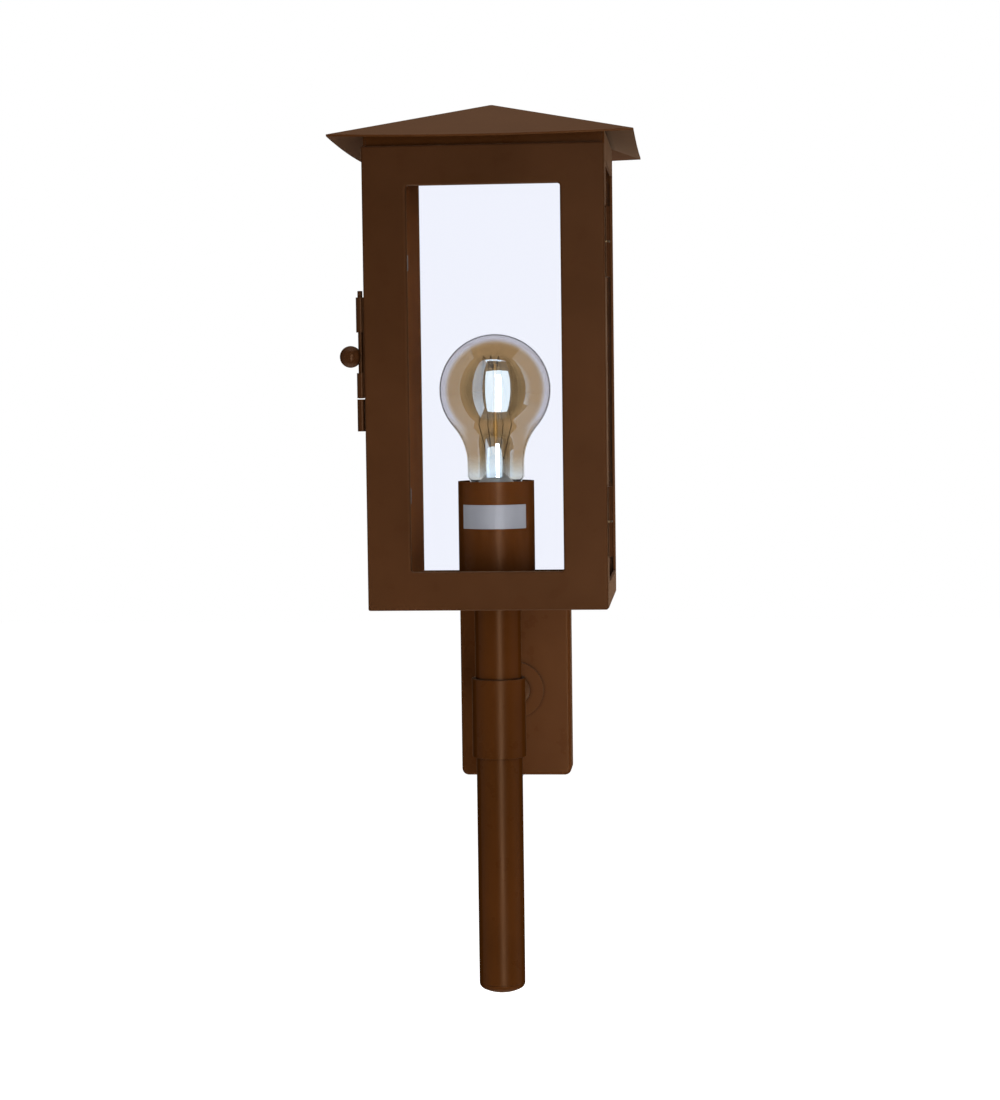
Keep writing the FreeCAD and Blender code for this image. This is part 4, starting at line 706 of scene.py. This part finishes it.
def in_place(mesh: bmesh.types.BMesh, axis: Colour, tip: Colour) -> bmesh.types.BMesh:
    """Turn a piece that points up so that its tip is at a point and it points along an axis.

    Args:
        mesh: The piece, with its tip at the origin.
        axis: The direction that it points to.
        tip: Where its tip goes.

    Returns:
        The same bmesh.
    """
    turn = Vector((0.0, 0.0, 1.0)).rotation_difference(Vector(axis)).to_matrix().to_4x4()
    mesh.transform(Matrix.Translation(tip) @ turn)
    return mesh


def gathered(parts: Iterable[bmesh.types.BMesh]) -> bmesh.types.BMesh:
    """Put several bmeshes into one.

    Args:
        parts: The bmeshes, which are freed.

    Returns:
        The joined bmesh.
    """
    whole = bmesh.new()
    for part in parts:
        step = bpy.data.meshes.new("step")
        part.to_mesh(step)
        part.free()
        whole.from_mesh(step)
        bpy.data.meshes.remove(step)
    return whole


@dataclass(frozen=True)
class SlottedScrew:
    """Cheese-head screw with a straight slot."""

    radius: float
    height: float
    slot_width: float
    slot_depth: float
    shank_radius: float
    shank_length: float
    segments: int = 32
    rounding: float = 0.45

    def half_head(self) -> bmesh.types.BMesh:
        """Make one side of the head beside the slot, with a rounded top edge.

        Returns:
            The half.
        """
        mesh = bmesh.new()
        bmesh.ops.create_cone(mesh, cap_ends=True, segments=self.segments, radius1=self.radius,
                              radius2=self.radius, depth=self.slot_depth)
        bmesh.ops.translate(mesh, verts=mesh.verts, vec=(0.0, 0.0, -self.slot_depth / 2))
        top = [edge for edge in mesh.edges if all(abs(end.co.z) < TOUCH for end in edge.verts)]
        bmesh.ops.bevel(mesh, geom=top, offset=self.slot_depth * self.rounding, segments=3, profile=0.5,
                        affect="EDGES", material=-1)
        cut = bmesh.ops.bisect_plane(mesh, geom=[*mesh.verts, *mesh.edges, *mesh.faces], dist=TOUCH,
                                     plane_co=(self.slot_width / 2, 0.0, 0.0), plane_no=(1.0, 0.0, 0.0),
                                     clear_inner=True)
        rim = [item for item in cut["geom_cut"] if isinstance(item, bmesh.types.BMEdge)]
        bmesh.ops.edgeloop_fill(mesh, edges=rim)
        return mesh

    def round_bar(self, radius: float, top: float, length: float) -> bmesh.types.BMesh:
        """Make a round bar below a height.

        Args:
            radius: Its radius.
            top: Height of its top.
            length: Its length.

        Returns:
            The bar.
        """
        mesh = bmesh.new()
        bmesh.ops.create_cone(mesh, cap_ends=True, segments=self.segments, radius1=radius, radius2=radius,
                              depth=length)
        bmesh.ops.translate(mesh, verts=mesh.verts, vec=(0.0, 0.0, top - length / 2))
        return mesh

    def build(self) -> bmesh.types.BMesh:
        """Make the screw with its head's top at the origin, pointing up.

        Returns:
            The screw.
        """
        other = self.half_head()
        half_turn = Matrix.Rotation(math.pi, 3, "Z")
        bmesh.ops.rotate(other, verts=other.verts, cent=(0.0, 0.0, 0.0), matrix=half_turn)
        disc = self.round_bar(self.radius, -self.slot_depth, self.height - self.slot_depth)
        parts = [self.half_head(), other, disc]
        if self.shank_length:
            parts.append(self.round_bar(self.shank_radius, -self.height, self.shank_length))
        return gathered(parts)


@dataclass
class LanternBox:
    """Roof, walls, floor and panes."""

    finishes: Finishes
    sheet: tuple[str, ...] = ("roof", "front_header", "floor_pan")
    fittings: tuple[str, ...] = ("hinge_wall_knuckles", "latch_keeper")
    walls: tuple[str, ...] = ("left_wall", "right_wall", "back_wall")
    panes: tuple[str, ...] = ("left_glass", "right_glass", "back_glass")
    clips: tuple[str, ...] = ("pane_top_clips", "pane_foot_clips")

    def dress(self) -> None:
        """Give the box its finishes."""
        self.finishes.dress_nodes(self.sheet, Slot.COAT)
        self.finishes.dress_nodes(self.fittings, Slot.COAT, self.finishes.shaded_fitting_coat)
        self.finishes.dress_nodes(self.walls, Slot.COAT, self.finishes.wall_coat)
        self.finishes.dress_nodes(self.panes, Slot.PANE)
        self.finishes.dress_nodes(self.clips, Slot.STEEL, self.finishes.spring)
        self.finishes.dress_node("hinge_pins", Slot.STEEL, self.finishes.spring)
        self.finishes.dress_node("hinge_washers", Slot.BRASS)


@dataclass
class Door:
    """Door pan, its pane and clips, hinge knuckles and latch."""

    finishes: Finishes
    fittings: tuple[str, ...] = ("hinge_door_knuckles", "latch_guides", "latch_pin", "latch_knob")

    def dress(self) -> None:
        """Give the door its finishes."""
        self.finishes.dress_nodes(self.fittings, Slot.COAT, self.finishes.shaded_fitting_coat)
        self.finishes.dress_node("door_frame", Slot.COAT, self.finishes.shaded_door_coat)
        self.finishes.dress_node("door_glass", Slot.PANE)
        self.finishes.dress_node("door_glass_clips", Slot.STEEL, self.finishes.spring)


@dataclass
class Lampholder:
    """Cover, porcelain, shell, contact and the bare foil label on the cover."""

    finishes: Finishes
    label_width: float = 39.0 * MM
    label_height: float = 12.8 * MM
    label_centre: float = 109.3 * MM
    foil: float = 0.08 * MM
    glue: float = 0.02 * MM
    steps: int = 36

    def dress(self) -> None:
        """Give the lampholder its finishes."""
        self.finishes.dress_node("lampholder_cover", Slot.COAT, self.finishes.lit_cover_coat)
        self.finishes.dress_node("lampholder_body", Slot.PORCELAIN)
        self.finishes.dress_nodes(("lampholder_shell", "lampholder_contact"), Slot.BRASS)
        self.finishes.dress_nodes(("threaded_nipple", "nipple_nut"), Slot.STEEL)

    def build_label(self) -> bpy.types.Object:
        """Make the curved foil on the front of the cover.

        Returns:
            The label.
        """
        low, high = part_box("lampholder_cover")
        middle = (low + high) / 2
        radius = (high.x - low.x) / 2 + self.glue
        half = self.label_width / radius / 2
        mesh = bmesh.new()
        start = Matrix.Rotation(-half, 3, "Z") @ Vector((0.0, -radius, 0.0))
        ends = []
        for side in (-0.5, 0.5):
            height = self.label_centre + side * self.label_height
            ends.append(mesh.verts.new(start + Vector((middle.x, middle.y, height))))
        edge = mesh.edges.new(ends)
        bmesh.ops.spin(mesh, geom=[*ends, edge], cent=(middle.x, middle.y, 0.0), axis=(0.0, 0.0, 1.0),
                       angle=2 * half, steps=self.steps, use_merge=False, use_duplicate=False)
        bmesh.ops.recalc_face_normals(mesh, faces=mesh.faces)
        bmesh.ops.solidify(mesh, geom=mesh.faces[:], thickness=-self.foil)
        return finish_piece("label_foil", mesh, self.finishes.foil, Body.LANTERN)


@dataclass
class Lamp:
    """Glass, stem, wires, filament and a cap with a rolled thread."""

    finishes: Finishes
    pitch: float = 3.63 * MM
    depth: float = 0.85 * MM
    wall: float = 0.3 * MM
    skirt: float = 3.0 * MM
    steps: int = 48
    profile: int = 8
    crease: float = 50.0

    def dress(self) -> None:
        """Give the lamp its finishes."""
        self.finishes.dress_node("lamp_envelope", Slot.BULB)
        self.finishes.dress_node("lamp_stem", Slot.STEM)
        self.finishes.dress_nodes(("lamp_filament", "lamp_support_wires"), Slot.TUNGSTEN)
        self.finishes.dress_nodes(("lamp_cap", "lamp_contact"), Slot.CAP)
        self.finishes.dress_node("lamp_insulator", Slot.INSULATOR)

    def build_cap(self) -> bpy.types.Object:
        """Make the screw cap with its rounded thread.

        Returns:
            The cap, in place of the plain one.
        """
        low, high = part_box("lamp_cap")
        middle = (low + high) / 2
        crest = (high.x - low.x) / 2
        turns = math.ceil((high.z - low.z) / self.pitch) + 2
        mesh = bmesh.new()
        points = []
        for index in range(self.profile + 1):
            share = index / self.profile
            radius = crest - self.depth * (0.5 - 0.5 * math.cos(2 * math.pi * share))
            height = low.z + (share - 2) * self.pitch
            points.append(mesh.verts.new((middle.x + radius, middle.y, height)))
        chain = [mesh.edges.new(pair) for pair in zip(points, points[1:])]
        count = self.steps * turns
        bmesh.ops.spin(mesh, geom=[*points, *chain], cent=(middle.x, middle.y, 0.0), axis=(0.0, 0.0, 1.0),
                       angle=2 * math.pi * turns, steps=count, dvec=(0.0, 0.0, self.pitch / self.steps),
                       use_merge=False, use_duplicate=False)
        bmesh.ops.remove_doubles(mesh, verts=mesh.verts, dist=WELD)
        rim = high.z - self.skirt
        for height, side in ((low.z, -1.0), (rim, 1.0)):
            bmesh.ops.bisect_plane(mesh, geom=[*mesh.verts, *mesh.edges, *mesh.faces], dist=TOUCH,
                                   plane_co=(0.0, 0.0, height), plane_no=(0.0, 0.0, side), clear_outer=True)
        collar = bmesh.ops.create_cone(mesh, cap_ends=False, segments=self.steps, radius1=crest,
                                       radius2=crest, depth=self.skirt)
        bmesh.ops.translate(mesh, verts=collar["verts"], vec=(middle.x, middle.y, rim + self.skirt / 2))
        bmesh.ops.recalc_face_normals(mesh, faces=mesh.faces)
        bmesh.ops.solidify(mesh, geom=mesh.faces[:], thickness=self.wall)
        cap = finish_piece("lamp_cap_thread", mesh, self.finishes.made[Slot.CAP], Body.LAMP,
                           self.crease)
        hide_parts("lamp_cap")
        return cap


@dataclass
class WallMount:
    """Canopy, strap, arm and what they hold."""

    finishes: Finishes
    sheet: tuple[str, ...] = ("wall_canopy", "arm_flange", "arm_tube")
    steel: tuple[str, ...] = ("wall_strap", "canopy_screws", "arm_locknut")
    head_height: float = 2.2 * MM
    slot_width: float = 1.0 * MM
    slot_depth: float = 1.1 * MM
    shank_radius: float = 2.0 * MM
    shank: float = 6.0 * MM
    clamp_screw: SlottedScrew = SlottedScrew(2.1 * MM, 1.6 * MM, 0.7 * MM, 0.8 * MM, 0.0, 0.0, 24)
    clamp_pitch: float = 9.0 * MM
    clamp_rows: tuple[float, float] = (0.3, 0.7)
    clamp_rise: float = 1.65 * MM

    def dress(self) -> None:
        """Give the wall side its finishes."""
        self.finishes.dress_nodes(self.sheet, Slot.COAT)
        self.finishes.dress_nodes(self.steel, Slot.STEEL)
        self.finishes.dress_node("terminal_block", Slot.TERMINAL)
        self.finishes.dress_node("inner_cable", Slot.CABLE)

    def build_canopy_screws(self) -> bpy.types.Object:
        """Make the two slotted screws above and below the canopy.

        Returns:
            The screws, in place of the plain ones.
        """
        low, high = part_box("canopy_screws")
        middle = (low + high) / 2
        screw = SlottedScrew((high.x - low.x) / 2, self.head_height, self.slot_width, self.slot_depth,
                             self.shank_radius, self.shank)
        upper = in_place(screw.build(), (0.0, 0.0, 1.0), (middle.x, middle.y, high.z))
        lower = in_place(screw.build(), (0.0, 0.0, -1.0), (middle.x, middle.y, low.z))
        screws = finish_piece("canopy_slotted_screws", gathered((upper, lower)),
                              self.finishes.made[Slot.STEEL], Body.LANTERN)
        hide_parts("canopy_screws")
        return screws

    def build_terminal_screws(self) -> bpy.types.Object:
        """Make the six clamp screws at the bottom of the terminal block's wells.

        Returns:
            The screws.
        """
        low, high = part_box("terminal_block")
        middle = (low + high) / 2
        face = low.y + (high.y - low.y) / 3 - self.clamp_rise
        parts = []
        for step in (-1, 0, 1):
            for share in self.clamp_rows:
                tip = (middle.x + step * self.clamp_pitch, face, low.z + share * (high.z - low.z))
                parts.append(in_place(self.clamp_screw.build(), (0.0, -1.0, 0.0), tip))
        return finish_piece("terminal_screws", gathered(parts), self.finishes.made[Slot.STEEL],
                            Body.LANTERN)


@dataclass
class Pole:
    """Pole, sleeve, domed end and the plug in its top."""

    finishes: Finishes
    sheet: tuple[str, ...] = ("pole_tube", "pole_sleeve", "pole_end_cap")
    socket_radius: float = 1.45 * MM
    socket_depth: float = 2.4 * MM
    socket_sides: int = 6
    screw_sides: int = 24

    def dress(self) -> None:
        """Give the pole its finishes."""
        self.finishes.dress_nodes(self.sheet, Slot.COAT, self.finishes.shaded_pole_coat)
        self.finishes.dress_nodes(("pole_plug", "sleeve_set_screw"), Slot.STEEL)

    def build_set_screw(self) -> bpy.types.Object:
        """Make the headless screw at the back of the sleeve, with a six-sided socket.

        Returns:
            The screw, in place of the plain one.
        """
        low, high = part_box("sleeve_set_screw")
        middle = (low + high) / 2
        mesh = bmesh.new()
        rim = bmesh.ops.create_circle(mesh, cap_ends=False, segments=self.screw_sides,
                                      radius=(high.x - low.x) / 2)["verts"]
        socket = bmesh.ops.create_circle(mesh, cap_ends=False, segments=self.socket_sides,
                                         radius=self.socket_radius)["verts"]
        bmesh.ops.bridge_loops(mesh, edges=mesh.edges[:])
        for loop, depth in ((rim, high.y - low.y), (socket, self.socket_depth)):
            edges = [edge for edge in mesh.edges if edge.is_boundary and set(edge.verts) <= set(loop)]
            wall = bmesh.ops.extrude_edge_only(mesh, edges=edges)["geom"]
            ends = [item for item in wall if isinstance(item, bmesh.types.BMVert)]
            bmesh.ops.translate(mesh, verts=ends, vec=(0.0, 0.0, -depth))
            sides = [item for item in wall if isinstance(item, bmesh.types.BMEdge)]
            bottom = [edge for edge in sides if set(edge.verts) <= set(ends)]
            bmesh.ops.edgeloop_fill(mesh, edges=bottom)
        in_place(mesh, (0.0, 1.0, 0.0), (middle.x, high.y, middle.z))
        screw = finish_piece("sleeve_socket_screw", mesh, self.finishes.spring, Body.LANTERN)
        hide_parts("sleeve_set_screw")
        return screw


def seen_share(tree: bpy.types.NodeTree) -> bpy.types.NodeSocket:
    """Tell rays of the eye, of gloss and of glass from those that light matt surfaces.

    Args:
        tree: The node tree that the nodes go into.

    Returns:
        A socket that is 1 for rays of the eye, of gloss and of glass.
    """
    path = tree.nodes.new("ShaderNodeLightPath")
    share = path.outputs["Is Camera Ray"]
    for ray in ("Is Glossy Ray", "Is Transmission Ray"):
        either = tree.nodes.new("ShaderNodeMath")
        either.operation = "MAXIMUM"
        tree.links.new(share, either.inputs[0])
        tree.links.new(path.outputs[ray], either.inputs[1])
        share = either.outputs["Value"]
    return share


@dataclass(frozen=True)
class StudioLamp:
    """Soft rectangular lamp that faces a target.

    The power is in watts and the spread in degrees. With shows, gloss mirrors the lamp, and with lights it
    lights matt surfaces.
    """

    name: str
    place: Colour
    width: float
    height: float
    power: float
    target: Colour = (0.0, -0.14, 0.12)
    spread: float = 180.0
    shows: bool = True
    lights: bool = True

    def build(self) -> bpy.types.Object:
        """Add the lamp to the scene.

        Returns:
            The lamp.
        """
        data = bpy.data.lights.new(self.name, "AREA")
        data.shape = "RECTANGLE"
        data.size = self.width
        data.size_y = self.height
        data.energy = self.power
        data.spread = math.radians(self.spread)
        lamp = bpy.data.objects.new(self.name, data)
        lamp.location = self.place
        lamp.rotation_mode = "QUATERNION"
        lamp.rotation_quaternion = (Vector(self.target) - Vector(self.place)).to_track_quat("-Z", "Y")
        lamp.visible_camera = False
        lamp.visible_glossy = self.shows
        lamp.visible_transmission = False
        lamp.visible_diffuse = self.lights
        bpy.context.scene.collection.objects.link(lamp)
        return lamp


@dataclass
class Studio:
    """Floor, dark card, world, lamps and camera.

    The panel, neck and strip lamps only show in gloss: the first two in the lamp's glass, the strip as a
    soft line on the pole. The inner lamp lights the side of the box seen through the window.
    """

    ambient: float = 0.10
    floor_height: float = -0.62
    floor_size: float = 14.0
    floor_colour: Colour = (0.78, 0.78, 0.78)
    floor_glow: float = 0.95
    card_colour: Colour = (0.10, 0.10, 0.10)
    card_centre: Colour = (0.62, -1.15, 0.79)
    card_scale: Colour = (1.0, 1.4, 1.0)
    low_card_centre: Colour = (0.62, -0.75, -0.61)
    low_card_scale: Colour = (1.0, 0.4, 1.0)
    lamps: tuple[StudioLamp, ...] = (
        StudioLamp("key", (0.38, -1.9, 0.06), 0.8, 0.7, 18.0, shows=False),
        StudioLamp("panel", (0.0067, -0.184, 0.173), 0.028, 0.054, 0.014, (0.0, -0.14, 0.172), lights=False),
        StudioLamp("neck", (0.0, -0.184, 0.130), 0.042, 0.016, 0.0047, (0.0, -0.097, 0.080), lights=False),
        StudioLamp("strip", (0.18, -0.99, 0.05), 0.19, 1.3, 15.5, lights=False),
        StudioLamp("left", (-1.9, -0.6, -0.3), 1.2, 1.2, 6.0, shows=False),
        StudioLamp("right", (2.0, -0.15, -0.35), 1.2, 0.5, 10.5, shows=False),
        StudioLamp("back", (-0.7, 1.7, 0.5), 1.4, 1.4, 14.0, shows=False),
        StudioLamp("top", (0.1, -0.4, 2.1), 1.6, 1.6, 29.0),
        StudioLamp("low", (0.30, -1.05, -0.22), 0.7, 0.25, 0.5, (0.0, -0.10, -0.08), 50.0, False),
        StudioLamp("inner", (-0.050, -0.176, 0.175), 0.01, 0.21, 0.03, (-0.050, 0.0, 0.175), 70.0, False),
    )
    eye: Colour = (0.10811, -1.43348, 0.17345)
    yaw: float = 0.08214
    pitch: float = -0.06382
    roll: float = -0.01285
    lens: float = 78.88
    sensor: float = 36.0
    near: float = 0.05
    far: float = 60.0

    def build_world(self) -> None:
        """Make a plain ambient light that shows white to the eye, to gloss and to glass."""
        world = bpy.data.worlds.new("studio")
        bpy.context.scene.world = world
        world.use_nodes = True
        tree = world.node_tree
        tree.nodes.clear()
        output = tree.nodes.new("ShaderNodeOutputWorld")
        mixed = tree.nodes.new("ShaderNodeMixShader")
        tree.links.new(seen_share(tree), mixed.inputs[0])
        for index, strength in enumerate((self.ambient, 1.0), start=1):
            light = tree.nodes.new("ShaderNodeBackground")
            light.inputs["Color"].default_value = (1.0, 1.0, 1.0, 1.0)
            light.inputs["Strength"].default_value = strength
            tree.links.new(light.outputs["Background"], mixed.inputs[index])
        tree.links.new(mixed.outputs["Shader"], output.inputs["Surface"])

    def build_floor(self) -> bpy.types.Object:
        """Make the pale floor far below the wall lantern, which is clear when seen from beneath.

        Returns:
            The floor.
        """
        kit = NodeKit("pale floor")
        matt = kit.add("ShaderNodeBsdfDiffuse")
        matt.inputs["Color"].default_value = (*self.floor_colour, 1.0)
        glow = kit.add("ShaderNodeEmission")
        kit.join(kit.span(seen_share(kit.tree), 0.0, self.floor_glow, 0.0, 1.0), glow.inputs["Strength"])
        both = kit.add("ShaderNodeAddShader")
        kit.join(matt.outputs["BSDF"], both.inputs[0])
        kit.join(glow.outputs["Emission"], both.inputs[1])
        beneath = kit.add("ShaderNodeNewGeometry").outputs["Backfacing"]
        sided = kit.mixed(beneath, both, kit.add("ShaderNodeBsdfTransparent"))
        kit.join(sided.outputs["Shader"], kit.output.inputs["Surface"])
        mesh = bmesh.new()
        bmesh.ops.create_grid(mesh, x_segments=1, y_segments=1, size=self.floor_size / 2)
        bmesh.ops.translate(mesh, verts=mesh.verts, vec=(0.0, 0.0, self.floor_height))
        floor = linked_object("floor", mesh, kit.material)
        return floor

    def build_card(self) -> bpy.types.Object:
        """Make a dark card behind the strip and on the floor before it, which only gloss mirrors.

        Returns:
            The card.
        """
        kit = NodeKit("dark card")
        dim = kit.add("ShaderNodeEmission")
        dim.inputs["Color"].default_value = (*self.card_colour, 1.0)
        kit.join(dim.outputs["Emission"], kit.output.inputs["Surface"])
        upright = Matrix.Translation(self.card_centre) @ Matrix.Rotation(math.radians(90), 4, "X")
        flat = Matrix.Translation(self.low_card_centre)
        mesh = bmesh.new()
        for place, scale in ((upright, self.card_scale), (flat, self.low_card_scale)):
            bmesh.ops.create_grid(mesh, x_segments=1, y_segments=1, size=1.0,
                                  matrix=place @ Matrix.Diagonal((*scale, 1.0)))
        card = linked_object("card", mesh, kit.material)
        card.visible_camera = False
        card.visible_diffuse = False
        card.visible_transmission = False
        card.visible_shadow = False
        return card

    def build_camera(self) -> bpy.types.Object:
        """Place the camera at the photograph's viewing angle.

        Returns:
            The camera.
        """
        data = bpy.data.cameras.new("camera")
        data.sensor_width = self.sensor
        data.lens = self.lens
        data.clip_start = self.near
        data.clip_end = self.far
        camera = bpy.data.objects.new("camera", data)
        level = Vector((math.cos(self.yaw), math.sin(self.yaw), 0.0))
        onward = Vector((-math.sin(self.yaw), math.cos(self.yaw), 0.0))
        ahead = onward * math.cos(self.pitch) + Vector((0.0, 0.0, math.sin(self.pitch)))
        above = level.cross(ahead)
        right = math.cos(self.roll) * level + math.sin(self.roll) * above
        up = math.cos(self.roll) * above - math.sin(self.roll) * level
        turn = Matrix((right, up, -ahead)).transposed().to_4x4()
        camera.matrix_world = Matrix.Translation(self.eye) @ turn
        bpy.context.scene.collection.objects.link(camera)
        bpy.context.scene.camera = camera
        return camera

    def build(self) -> None:
        """Make the whole studio."""
        bpy.context.scene.view_settings.view_transform = "Standard"
        self.build_world()
        self.build_floor()
        self.build_card()
        for lamp in self.lamps:
            lamp.build()
            LOG.info("%s lamp", lamp.name)
        self.build_camera()


def main() -> None:
    """Build every sub-assembly and the studio."""
    logging.basicConfig(level=logging.INFO, format="%(name)s %(message)s")
    finishes = Finishes()
    LanternBox(finishes).dress()
    Door(finishes).dress()
    holder = Lampholder(finishes)
    holder.dress()
    holder.build_label()
    lamp = Lamp(finishes)
    lamp.dress()
    lamp.build_cap()
    mount = WallMount(finishes)
    mount.dress()
    mount.build_canopy_screws()
    mount.build_terminal_screws()
    pole = Pole(finishes)
    pole.dress()
    pole.build_set_screw()
    Studio().build()


if __name__ == "__main__":
    main()
